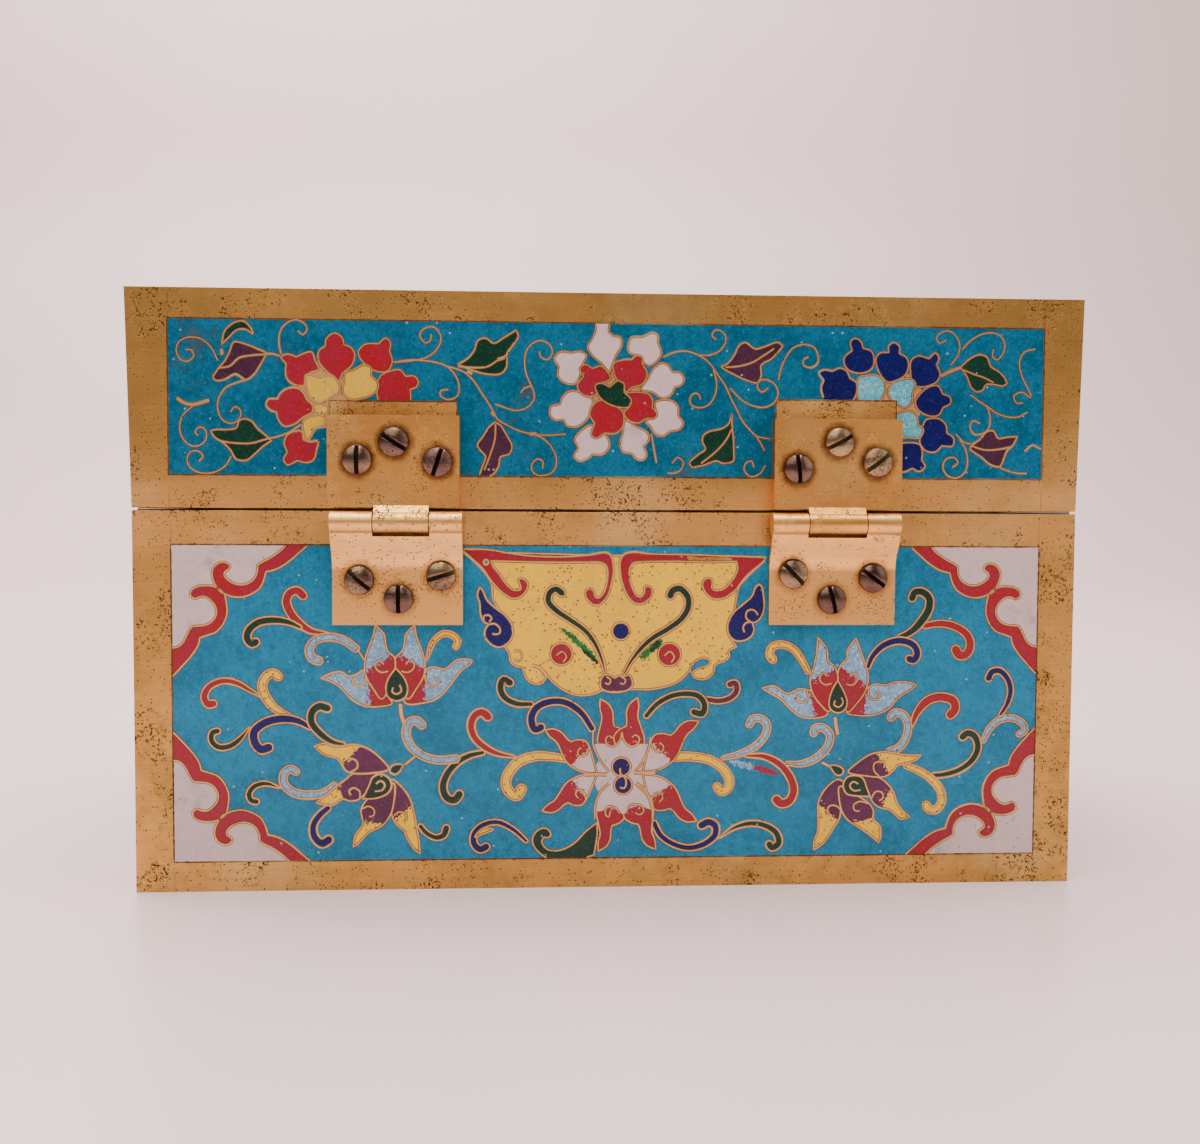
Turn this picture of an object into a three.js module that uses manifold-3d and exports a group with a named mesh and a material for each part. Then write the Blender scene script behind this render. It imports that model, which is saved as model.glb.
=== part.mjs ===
// A hinged rectangular box of brass, its sides and lid inlaid with enamel panels.
// Millimetres, +Z up. The origin is the middle of the underside, the hinges are at the back (+Y),
// and +X is to the right of someone who faces the front. The lid is modelled shut.
import * as THREE from "three";
import { mergeVertices } from "three/addons/utils/BufferGeometryUtils.js";
import Module from "manifold-3d";

const wasm = await Module();
wasm.setup();

// ---- driving dimensions ---------------------------------------------------------------------
const WIDTH = 152; // along X, at the foot of the lid and over the whole body
const DEPTH = 102; // along Y
const BODY_HEIGHT = 61;
const SEAM = 0.4; // open line between the body and the shut lid
const LID_HEIGHT = 34.5;
const LID_FLARE = 0.8; // each end of the lid leans out by this much at the top
const WALL = 2.4; // brass frame, full thickness
const INLAY = 1.2; // depth of the enamel let into the wall
const FLOOR = 1.6;
const SEAT_GAP = 0.05; // behind the enamel in the leaning ends of the lid

// Frame widths around the enamel.
const BODY_STILE = 6.0;
const BODY_TOP_RAIL = 5.4;
const BODY_FOOT_RAIL = 4.8;
const LID_STILE = 5.8;
const LID_TOP_RAIL = 4.8;
const LID_FOOT_RAIL = 5.2;
const TOP_FRAME = 6.0;

// Hinges: a thick upper leaf with the middle knuckle, and a lower leaf rolled into the two outer
// knuckles and bent back to lie flat on the body. "out" is measured from the back face.
const LEAF_WIDTH = 20.6;
const UPPER_LEAF_OUT = 3.1;
const UPPER_LEAF_FOOT = 0.6; // above the top of the body
const UPPER_LEAF_TOP = 15.0;
const LOWER_LEAF_THICK = 1.1;
const LOWER_LEAF_DROP = 18.1;
const AXIS_OUT = 2.9;
const AXIS_DROP = 1.75; // below the top of the body
const KNUCKLE_R = 1.8;
const BORE_R = 0.8;
const PIN_R = 0.7;
const KNUCKLE_GAP = 0.15;
const NOTCH_DROP = 3.95; // the lower leaf is cut back to here under the middle knuckle

// Screws: domed slotted heads on plain shanks that end inside the wall.
const HEAD_R = 2.4;
const HEAD_RIM = 0.35;
const HEAD_DOME = 0.95;
const SLOT_WIDTH = 0.65;
const SLOT_DEPTH = 0.7;
const SHANK_R = 1.1;
const SCREW_HOLE_R = 1.2;
const SEAT_R = 2.55; // the lower leaf's bend is spot-faced for the heads that reach it
const SHANK_IN_WALL = 1.7;
const HOLE_IN_WALL = 2.0;

// Each hinge: where its leaves and its middle knuckle stand along X, the brass land left in the
// lid's enamel behind it, and its screws as [x from the leaf's middle, height, turn of the slot].
const HINGES = [
  {
    side: "right", upperX: 34.8, lowerX: 34.35, knuckleX: 33.6, knuckleWidth: 8.6,
    landX: 35.05, landWidth: 20.1, landTop: 17.4,
    upper: [[5.6, 8.0, 90], [-0.1, 10.8, -32], [-6.9, 7.7, 71]],
    lower: [[6.05, -10.95, -41], [-0.15, -13.9, 90], [-6.85, -10.25, 17]],
  },
  {
    side: "left", upperX: -35.8, lowerX: -35.5, knuckleX: -35.65, knuckleWidth: 9.2,
    landX: -36.05, landWidth: 19.7, landTop: 18.2,
    upper: [[6.55, 7.0, -84], [-0.05, 11.3, 28], [-6.25, 8.1, 37]],
    lower: [[6.45, -9.85, -45], [0.1, -14.0, -76], [-6.6, -10.5, -36]],
  },
];
const BODY_LAND_WIDTH = 20.0;
const BODY_LAND_DROP = 17.8;

// Facets of the round pieces.
const KNUCKLE_SIDES = 24;
const PIN_SIDES = 12;
const SCREW_SIDES = 20;
const DOME_STEPS = 4;
const PAST = 1; // how far a cutter runs past the face it opens

// ---- materials ------------------------------------------------------------------------------
const brass = () => new THREE.MeshStandardMaterial({ color: 0xb98a3c, roughness: 0.42, metalness: 1 });
const hingeBrass = () => new THREE.MeshStandardMaterial({ color: 0xcf9a4e, roughness: 0.35, metalness: 1 });
const enamel = () => new THREE.MeshStandardMaterial({ color: 0x127a9c, roughness: 0.3, metalness: 0 });
const steel = () => new THREE.MeshStandardMaterial({ color: 0x7c7068, roughness: 0.45, metalness: 1 });

// ---- solids ---------------------------------------------------------------------------------
function solid(geometry) {
  const bare = geometry.clone();
  bare.deleteAttribute("normal");
  bare.deleteAttribute("uv");
  const merged = mergeVertices(bare, 1e-4);
  return new wasm.Manifold(new wasm.Mesh({
    numProp: 3,
    vertProperties: new Float32Array(merged.attributes.position.array),
    triVerts: new Uint32Array(merged.index.array),
  }));
}

function meshOf(name, body, material) {
  const data = body.getMesh();
  const geometry = new THREE.BufferGeometry();
  geometry.setAttribute("position", new THREE.BufferAttribute(new Float32Array(data.vertProperties), 3));
  geometry.setIndex(new THREE.BufferAttribute(new Uint32Array(data.triVerts), 1));
  geometry.computeVertexNormals();
  const mesh = new THREE.Mesh(geometry, material);
  mesh.name = name;
  return mesh;
}

function box(x0, x1, y0, y1, z0, z1) {
  const geometry = new THREE.BoxGeometry(x1 - x0, y1 - y0, z1 - z0);
  geometry.translate((x0 + x1) / 2, (y0 + y1) / 2, (z0 + z1) / 2);
  return solid(geometry);
}

// A straight-sided solid with the outline [y, z], running along X.
function alongX(outline, x0, x1) {
  const shape = new THREE.Shape(outline.map(([y, z]) => new THREE.Vector2(y, z)));
  const geometry = new THREE.ExtrudeGeometry(shape, { depth: x1 - x0, bevelEnabled: false });
  const turn = new THREE.Matrix4().makeBasis(
    new THREE.Vector3(0, 1, 0), new THREE.Vector3(0, 0, 1), new THREE.Vector3(1, 0, 0));
  geometry.applyMatrix4(turn);
  geometry.translate(x0, 0, 0);
  return solid(geometry);
}

// A straight-sided solid with the outline [x, z], running along Y.
function alongY(outline, y0, y1) {
  const shape = new THREE.Shape(outline.map(([x, z]) => new THREE.Vector2(z, x)));
  const geometry = new THREE.ExtrudeGeometry(shape, { depth: y1 - y0, bevelEnabled: false });
  const turn = new THREE.Matrix4().makeBasis(
    new THREE.Vector3(0, 0, 1), new THREE.Vector3(1, 0, 0), new THREE.Vector3(0, 1, 0));
  geometry.applyMatrix4(turn);
  geometry.translate(0, y0, 0);
  return solid(geometry);
}

// A round bar along X around the hinge axis, in a frame whose origin is on the body's back top edge.
function barX(radius, x0, x1, sides) {
  const geometry = new THREE.CylinderGeometry(radius, radius, x1 - x0, sides);
  geometry.rotateZ(Math.PI / 2);
  geometry.translate((x0 + x1) / 2, AXIS_OUT, -AXIS_DROP);
  return solid(geometry);
}

// A round hole cutter along Y.
function holeY(x, z, y0, y1, radius = SCREW_HOLE_R) {
  const geometry = new THREE.CylinderGeometry(radius, radius, y1 - y0, SCREW_SIDES);
  geometry.translate(x, (y0 + y1) / 2, z);
  return solid(geometry);
}

function cutAll(body, cutters) {
  return cutters.reduce((left, cutter) => left.subtract(cutter), body);
}

// ---- body -----------------------------------------------------------------------------------
function bodyPanels() {
  const halfW = WIDTH / 2;
  const halfD = DEPTH / 2;
  const z0 = BODY_FOOT_RAIL;
  const z1 = BODY_HEIGHT - BODY_TOP_RAIL;
  const x1 = halfW - BODY_STILE;
  const y1 = halfD - BODY_STILE;
  const lands = HINGES.map((hinge) => box(
    hinge.lowerX - BODY_LAND_WIDTH / 2, hinge.lowerX + BODY_LAND_WIDTH / 2,
    halfD - INLAY - PAST, halfD + PAST, BODY_HEIGHT - BODY_LAND_DROP, BODY_HEIGHT));
  return {
    back: cutAll(box(-x1, x1, halfD - INLAY, halfD, z0, z1), lands),
    front: box(-x1, x1, -halfD, -halfD + INLAY, z0, z1),
    left: box(-halfW, -halfW + INLAY, -y1, y1, z0, z1),
    right: box(halfW - INLAY, halfW, -y1, y1, z0, z1),
  };
}

function bodyCarcass(panels) {
  const outer = box(-WIDTH / 2, WIDTH / 2, -DEPTH / 2, DEPTH / 2, 0, BODY_HEIGHT);
  const hollow = box(-WIDTH / 2 + WALL, WIDTH / 2 - WALL, -DEPTH / 2 + WALL, DEPTH / 2 - WALL,
    FLOOR, BODY_HEIGHT + PAST);
  const screwHoles = HINGES.flatMap((hinge) => hinge.lower.map(([x, drop]) => holeY(
    hinge.lowerX + x, BODY_HEIGHT + drop, DEPTH / 2 - HOLE_IN_WALL, DEPTH / 2 + PAST)));
  return cutAll(outer, [hollow, ...Object.values(panels), ...screwHoles]);
}

// ---- lid, in a frame whose origin is the middle of its open foot -------------------------------
function lidHalfWidth(z, inset = 0) {
  return WIDTH / 2 + (LID_FLARE * z) / LID_HEIGHT - inset;
}

function lidEnd(side, z0, z1, outerInset, innerInset, y1) {
  const outline = [
    [side * lidHalfWidth(z0, innerInset), z0],
    [side * lidHalfWidth(z0, outerInset), z0],
    [side * lidHalfWidth(z1, outerInset), z1],
    [side * lidHalfWidth(z1, innerInset), z1],
  ];
  return alongY(side > 0 ? outline : outline.reverse(), -y1, y1);
}

function lidPrism(inset, z0, z1, halfDepth) {
  return alongY([
    [-lidHalfWidth(z0, inset), z0],
    [lidHalfWidth(z0, inset), z0],
    [lidHalfWidth(z1, inset), z1],
    [-lidHalfWidth(z1, inset), z1],
  ], -halfDepth, halfDepth);
}

function lidPanels(endSeatGap, endFaceInset) {
  const halfD = DEPTH / 2;
  const z0 = LID_FOOT_RAIL;
  const z1 = LID_HEIGHT - LID_TOP_RAIL;
  const x1 = WIDTH / 2 - LID_STILE;
  const y1 = halfD - LID_STILE;
  const topX = lidHalfWidth(LID_HEIGHT, TOP_FRAME);
  const lands = HINGES.map((hinge) => box(
    hinge.landX - hinge.landWidth / 2, hinge.landX + hinge.landWidth / 2,
    halfD - INLAY - PAST, halfD + PAST, 0, hinge.landTop - SEAM));
  return {
    back: cutAll(box(-x1, x1, halfD - INLAY, halfD, z0, z1), lands),
    front: box(-x1, x1, -halfD, -halfD + INLAY, z0, z1),
    left: lidEnd(-1, z0, z1, endFaceInset, INLAY - endSeatGap, y1),
    right: lidEnd(1, z0, z1, endFaceInset, INLAY - endSeatGap, y1),
    top: box(-topX, topX, -halfD + TOP_FRAME, halfD - TOP_FRAME, LID_HEIGHT - INLAY, LID_HEIGHT),
  };
}

function lidCarcass(recesses) {
  const hollowTop = LID_HEIGHT - WALL;
  const hollow = lidPrism(WALL, -PAST, hollowTop, DEPTH / 2 - WALL);
  const screwHoles = HINGES.flatMap((hinge) => hinge.upper.map(([x, rise]) => holeY(
    hinge.upperX + x, rise - SEAM, DEPTH / 2 - HOLE_IN_WALL, DEPTH / 2 + PAST)));
  return cutAll(lidPrism(0, 0, LID_HEIGHT, DEPTH / 2), [hollow, ...Object.values(recesses), ...screwHoles]);
}

// ---- hinges, in a frame whose origin is on the body's back top edge ----------------------------
// The middle knuckle's span along X, from the middle of the leaf that stands at leafX.
function middleSpan(hinge, leafX) {
  const middle = hinge.knuckleX - leafX;
  return [middle - hinge.knuckleWidth / 2, middle + hinge.knuckleWidth / 2];
}

function upperLeaf(hinge) {
  const half = LEAF_WIDTH / 2;
  const [m0, m1] = middleSpan(hinge, hinge.upperX);
  const plate = box(-half, half, 0, UPPER_LEAF_OUT, UPPER_LEAF_FOOT, UPPER_LEAF_TOP);
  const knuckle = barX(KNUCKLE_R, m0, m1, KNUCKLE_SIDES);
  const neck = alongX([
    [0.9, UPPER_LEAF_FOOT + 0.3],
    [1.5, -0.8],
    [3.9, -0.2],
    [UPPER_LEAF_OUT, UPPER_LEAF_FOOT + 0.3],
  ], m0, m1);
  const bore = barX(BORE_R, -half - PAST, half + PAST, PIN_SIDES);
  const holes = hinge.upper.map(([x, rise]) => holeY(x, rise, -PAST, UPPER_LEAF_OUT + PAST));
  return cutAll(plate.add(knuckle).add(neck), [bore, ...holes]);
}

function lowerLeaf(hinge) {
  const half = LEAF_WIDTH / 2;
  const [m0, m1] = middleSpan(hinge, hinge.lowerX);
  const outer = [
    [3.75, -3.5], [3.55, -4.2], [3.1, -5.0], [2.55, -5.8], [1.95, -6.7], [1.45, -7.6],
    [1.18, -8.6], [LOWER_LEAF_THICK, -9.4], [LOWER_LEAF_THICK, -LOWER_LEAF_DROP],
  ];
  const inner = [
    [0, -LOWER_LEAF_DROP], [0, -9.0], [0.1, -8.2], [0.45, -7.1], [0.95, -6.1], [1.5, -5.3],
    [2.0, -4.5], [2.3, -3.8], [2.4, -2.9],
  ];
  const strip = alongX([[3.6, -2.9], ...outer, ...inner], -half, half);
  const notch = box(m0 - KNUCKLE_GAP, m1 + KNUCKLE_GAP, -PAST, AXIS_OUT + KNUCKLE_R + PAST,
    -NOTCH_DROP, PAST);
  const knuckles = barX(KNUCKLE_R, -half, half, KNUCKLE_SIDES);
  const bore = barX(BORE_R, -half - PAST, half + PAST, PIN_SIDES);
  const holes = hinge.lower.map(([x, drop]) => holeY(x, drop, -PAST, LOWER_LEAF_THICK + PAST));
  const seats = hinge.lower.map(([x, drop]) => holeY(x, drop, LOWER_LEAF_THICK, AXIS_OUT, SEAT_R));
  return cutAll(strip.add(knuckles), [notch, bore, ...holes, ...seats]);
}

// ---- screws, along Y with the seat of the head at the origin -----------------------------------
function screw(reach) {
  const profile = [new THREE.Vector2(0, -reach), new THREE.Vector2(SHANK_R, -reach),
    new THREE.Vector2(SHANK_R, 0), new THREE.Vector2(HEAD_R, 0), new THREE.Vector2(HEAD_R, HEAD_RIM)];
  for (let step = 1; step < DOME_STEPS; step += 1) {
    const angle = (step / DOME_STEPS) * (Math.PI / 2);
    profile.push(new THREE.Vector2(HEAD_R * Math.cos(angle), HEAD_RIM + HEAD_DOME * Math.sin(angle)));
  }
  profile.push(new THREE.Vector2(0, HEAD_RIM + HEAD_DOME));
  const turned = solid(new THREE.LatheGeometry(profile, SCREW_SIDES));
  const top = HEAD_RIM + HEAD_DOME;
  const slot = box(-HEAD_R - PAST, HEAD_R + PAST, top - SLOT_DEPTH, top + PAST,
    -SLOT_WIDTH / 2, SLOT_WIDTH / 2);
  return turned.subtract(slot);
}

function addScrews(group, hinge, leaf, leafX, seat, zOffset) {
  const shank = screw(seat + SHANK_IN_WALL);
  hinge[leaf].forEach(([x, height, turn], index) => {
    const name = `${hinge.side}_hinge_${leaf}_screw_${index + 1}`;
    const mesh = meshOf(name, shank, steel());
    mesh.position.set(leafX + x, DEPTH / 2 + seat, height + zOffset);
    mesh.rotation.y = THREE.MathUtils.degToRad(turn);
    group.add(mesh);
  });
}

// ---- the scene graph ------------------------------------------------------------------------
const cloisonneBox = new THREE.Group();

const bodyGroup = new THREE.Group();
const bodyInlays = bodyPanels();
bodyGroup.add(meshOf("body_carcass", bodyCarcass(bodyInlays), brass()));
for (const [side, inlay] of Object.entries(bodyInlays)) {
  bodyGroup.add(meshOf(`body_enamel_${side}`, inlay, enamel()));
}
for (const hinge of HINGES) {
  const leaf = meshOf(`${hinge.side}_hinge_lower_leaf`, lowerLeaf(hinge), hingeBrass());
  leaf.position.set(hinge.lowerX, DEPTH / 2, BODY_HEIGHT);
  const pin = meshOf(`${hinge.side}_hinge_pin`,
    barX(PIN_R, -LEAF_WIDTH / 2, LEAF_WIDTH / 2, PIN_SIDES), hingeBrass());
  pin.position.copy(leaf.position);
  bodyGroup.add(leaf, pin);
  addScrews(bodyGroup, hinge, "lower", hinge.lowerX, LOWER_LEAF_THICK, BODY_HEIGHT);
}

const lidGroup = new THREE.Group();
lidGroup.position.z = BODY_HEIGHT + SEAM;
lidGroup.add(meshOf("lid_carcass", lidCarcass(lidPanels(0, -PAST)), brass()));
for (const [side, inlay] of Object.entries(lidPanels(SEAT_GAP, 0))) {
  lidGroup.add(meshOf(`lid_enamel_${side}`, inlay, enamel()));
}
for (const hinge of HINGES) {
  const leaf = meshOf(`${hinge.side}_hinge_upper_leaf`, upperLeaf(hinge), hingeBrass());
  leaf.position.set(hinge.upperX, DEPTH / 2, -SEAM);
  lidGroup.add(leaf);
  addScrews(lidGroup, hinge, "upper", hinge.upperX, UPPER_LEAF_OUT, -SEAM);
}

cloisonneBox.add(bodyGroup, lidGroup);
export default cloisonneBox;
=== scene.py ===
"""A hinged brass box inlaid with wired enamel panels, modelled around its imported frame.

Metres, +Z up, hinges at the back (+Y). The enamel is drawn in millimetres: across the panel
from its middle, seen from outside, and up from the table.
"""

import math
import random

import bmesh
import bpy
import numpy as np
from bpy.props import FloatProperty, FloatVectorProperty, PointerProperty
from bpy.types import Operator, Panel, PropertyGroup
from mathutils import Matrix, Vector, noise
from mathutils.geometry import delaunay_2d_cdt


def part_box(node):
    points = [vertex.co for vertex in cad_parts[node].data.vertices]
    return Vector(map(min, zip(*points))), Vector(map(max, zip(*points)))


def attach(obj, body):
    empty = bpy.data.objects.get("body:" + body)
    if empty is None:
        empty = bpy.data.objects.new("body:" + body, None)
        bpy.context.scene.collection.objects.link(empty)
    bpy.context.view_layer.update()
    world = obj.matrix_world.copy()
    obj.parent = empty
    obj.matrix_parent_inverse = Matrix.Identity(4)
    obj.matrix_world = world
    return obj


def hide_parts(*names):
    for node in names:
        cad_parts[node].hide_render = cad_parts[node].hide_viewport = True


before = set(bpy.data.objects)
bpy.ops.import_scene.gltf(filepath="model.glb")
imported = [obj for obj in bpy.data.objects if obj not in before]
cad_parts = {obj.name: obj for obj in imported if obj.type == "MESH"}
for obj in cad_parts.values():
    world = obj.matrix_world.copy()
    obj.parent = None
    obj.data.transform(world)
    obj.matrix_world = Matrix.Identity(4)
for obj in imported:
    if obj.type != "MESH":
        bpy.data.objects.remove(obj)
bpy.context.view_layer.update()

bl_info = {
    "name": "Cloisonne Box",
    "version": (1, 0, 0),
    "blender": (4, 5, 0),
    "location": "3D View > Sidebar > Box",
    "description": "A hinged brass box inlaid with wired enamel panels",
    "category": "Object",
}

MM = 0.001

# Sizes of the box, in millimetres, as its frame has them.
HALF_WIDTH = 76.0
HALF_DEPTH = 51.0
BODY_HEIGHT = 61.0
LID_FOOT = 61.4
LID_TOP = 95.9
LID_LEAN = 0.8  # each end of the lid leans out by this much at the top
WALL = 2.4
INLAY = 1.2
FLOOR = 1.6
BODY_STILE = 6.0
BODY_WINDOW = (4.8, 55.6)  # foot and top of the body's enamel
LID_STILE = 5.8
LID_WINDOW = (66.6, 91.1)
TOP_FRAME = 6.0
LIP = 0.7  # how far in from the outside the rims step towards each other
LIP_RISE = 0.18
END_REGION = 73.0  # beyond this across, a point belongs to an end of the lid
HINGE_SIDES = ("right", "left")
BODY_LANDS = {"right": (24.35, 44.35, 43.2), "left": (-45.5, -25.5, 43.2)}  # x, x, foot
LID_LANDS = {"right": (25.0, 45.1, 78.4), "left": (-45.9, -26.2, 79.2)}  # x, x, top


# ---- settings a user would change -------------------------------------------------------------
def colour(label, note, red, green, blue):
    return FloatVectorProperty(
        name=label, description=note, subtype="COLOR", size=3, min=0, max=1,
        default=tuple(((c / 255 + 0.055) / 1.055) ** 2.4 for c in (red, green, blue)))


def length(label, note, millimetres):
    return FloatProperty(
        name=label, description=note, default=millimetres * MM, min=0, precision=5,
        unit="LENGTH", subtype="DISTANCE")


class BOX_PG_sizes(PropertyGroup):
    edge_round: length("Edge rounding", "Radius of the rubbed outer edges of the brass", 0.45)
    joint_width: length("Joint width", "Width of the lines where rails meet stiles", 0.14)
    joint_depth: length("Joint depth", "Depth of the lines where rails meet stiles", 0.10)
    wire_width: length("Wire width", "Width of the partition wires", 0.22)
    wire_edge: length("Wire edge", "Width of the dark line on each side of a wire", 0.13)
    wire_rise: length("Wire rise", "How far the wires stand above the enamel", 0.035)
    hinge_round: length("Hinge rounding", "Radius of the hinges' rubbed edges", 0.16)


class BOX_PG_colours(PropertyGroup):
    brass: colour("Brass", "Frame of the body and the lid", 213, 161, 86)
    # Lightened to match the highlight that the lower leaves catch: a painted highlight.
    hinge: colour("Hinge brass", "Lower leaves and knuckles", 250, 188, 104)
    gold: colour("Upper leaves", "Upper leaves of the hinges", 242, 178, 92)
    wire: colour("Wire", "Partition wires of the body", 240, 186, 122)
    # A darker copy of the wire brass for the lid and the solder round its flowers: painted shade, the lid
    # darker than the body.
    dull_wire: colour("Dull wire", "Partition wires of the lid", 228, 174, 114)
    screw: colour("Screw", "Screw heads", 116, 90, 82)
    turquoise: colour("Turquoise", "Ground of the body", 0, 126, 165)
    # A darker copy of the turquoise for the lid's sides: painted shade, the lid darker than the body.
    lagoon: colour("Lagoon", "Ground of the lid", 5, 103, 136)
    red: colour("Red", "Borders and petals", 153, 21, 31)
    white: colour("White", "Corner fields and petals", 206, 185, 182)
    yellow: colour("Yellow", "Butterfly body and tendrils", 248, 197, 24)
    lemon: colour("Lemon", "Yellow petals of the lid", 218, 177, 58)
    green: colour("Green", "Leaves and tendrils", 6, 56, 40)
    jade: colour("Jade", "Stray green by the feelers", 26, 124, 56)
    blue: colour("Blue", "Dark tendrils and discs", 10, 12, 92)
    sky: colour("Sky", "Pale tendrils and petals", 134, 180, 205)
    purple: colour("Purple", "Petal feet", 91, 38, 73)
    plum: colour("Plum", "Leaves of the lid", 68, 36, 60)
    aqua: colour("Aqua", "Inner petals of the lid", 98, 180, 192)
    table: colour("Table", "Table and wall", 240, 218, 216)


def sizes():
    return bpy.context.scene.box_sizes


def colours():
    return bpy.context.scene.box_colours


# ---- modelling by hand ------------------------------------------------------------------------
def deselect_all():
    if bpy.context.object and bpy.context.object.mode != "OBJECT":
        bpy.ops.object.mode_set(mode="OBJECT")
    bpy.ops.object.select_all(action="DESELECT")


def begin_edit(piece):
    deselect_all()
    piece.select_set(True)
    bpy.context.view_layer.objects.active = piece
    bpy.ops.object.mode_set(mode="EDIT")


def end_edit():
    bpy.ops.object.mode_set(mode="OBJECT")


def block(name, low, high):
    """A box between two corners in millimetres, at the origin with its place in its mesh."""
    deselect_all()
    middle = [(a + b) / 2 * MM for a, b in zip(low, high)]
    size = [(b - a) * MM for a, b in zip(low, high)]
    bpy.ops.mesh.primitive_cube_add(size=1, location=middle, scale=size)
    piece = bpy.context.object
    piece.name = piece.data.name = name
    bpy.ops.object.transform_apply(location=True, rotation=True, scale=True)
    return piece


def cut(axis, place):
    """Cuts the selected part of the mesh across one axis at a place in millimetres."""
    spot = [0.0, 0.0, 0.0]
    spot[axis] = place * MM
    normal = [0.0, 0.0, 0.0]
    normal[axis] = 1.0
    bpy.ops.mesh.bisect(plane_co=spot, plane_no=normal)


def slice_across(axis, places):
    """Cuts the mesh being edited across one axis at each place in millimetres."""
    for place in places:
        bpy.ops.mesh.select_all(action="SELECT")
        cut(axis, place)


def select_faces(piece, wanted):
    """Selects the faces for which wanted(middle in millimetres, normal) holds."""
    bpy.ops.mesh.select_mode(type="FACE")
    bpy.ops.mesh.select_all(action="DESELECT")
    shape = bmesh.from_edit_mesh(piece.data)
    shape.normal_update()
    for face in shape.faces:
        face.select_set(bool(wanted(face.calc_center_median() / MM, face.normal)))
    shape.select_flush_mode()
    bmesh.update_edit_mesh(piece.data)


def select_edges(piece, wanted):
    """Selects the edges for which wanted(one end, other end, edge) holds, in millimetres."""
    bpy.ops.mesh.select_mode(type="EDGE")
    bpy.ops.mesh.select_all(action="DESELECT")
    shape = bmesh.from_edit_mesh(piece.data)
    for edge in shape.edges:
        ends = [vertex.co / MM for vertex in edge.verts]
        edge.select_set(bool(wanted(ends[0], ends[1], edge)))
    bmesh.update_edit_mesh(piece.data)


def select_points(piece, wanted):
    bpy.ops.mesh.select_mode(type="VERT")
    bpy.ops.mesh.select_all(action="DESELECT")
    shape = bmesh.from_edit_mesh(piece.data)
    for vertex in shape.verts:
        vertex.select_set(bool(wanted(vertex.co / MM)))
    shape.select_flush_mode()
    bmesh.update_edit_mesh(piece.data)


def push(offset):
    """Extrudes the selected faces by an offset in millimetres."""
    bpy.ops.mesh.extrude_region_move(
        TRANSFORM_OT_translate={"value": [part * MM for part in offset]})


def shift(offset):
    bpy.ops.transform.translate(value=[part * MM for part in offset])


def add_modifier(piece, kind, **settings):
    modifier = piece.modifiers.new(kind.title(), kind)
    for name, value in settings.items():
        setattr(modifier, name, value)
    deselect_all()
    piece.select_set(True)
    bpy.context.view_layer.objects.active = piece
    bpy.ops.object.modifier_apply(modifier=modifier.name)


def weigh_normals(piece):
    """Turns the shading of wide flat faces flat again after their edges are rounded."""
    add_modifier(piece, "WEIGHTED_NORMAL", keep_sharp=True, weight=100)


def smooth(piece, degrees=30):
    deselect_all()
    piece.select_set(True)
    bpy.context.view_layer.objects.active = piece
    bpy.ops.object.shade_smooth_by_angle(angle=math.radians(degrees))


def dress(piece, material, body, slot, *nodes):
    """Gives a piece its finish, its body and the nodes of the frame that it stands for."""
    if material is not None:
        piece.data.materials.clear()
        piece.data.materials.append(material)
    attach(piece, body)
    if nodes:
        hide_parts(*nodes)


# ---- brass frame ------------------------------------------------------------------------------
def give_faces(piece, finish, wanted):
    """Gives another finish to the faces for which wanted(middle in millimetres, normal) holds."""
    piece.data.materials.append(material(finish))
    index = len(piece.data.materials) - 1
    for face in piece.data.polygons:
        if wanted(face.center / MM, face.normal):
            face.material_index = index


def at(value, place, slack=0.02):
    return abs(value - place) < slack


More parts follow.
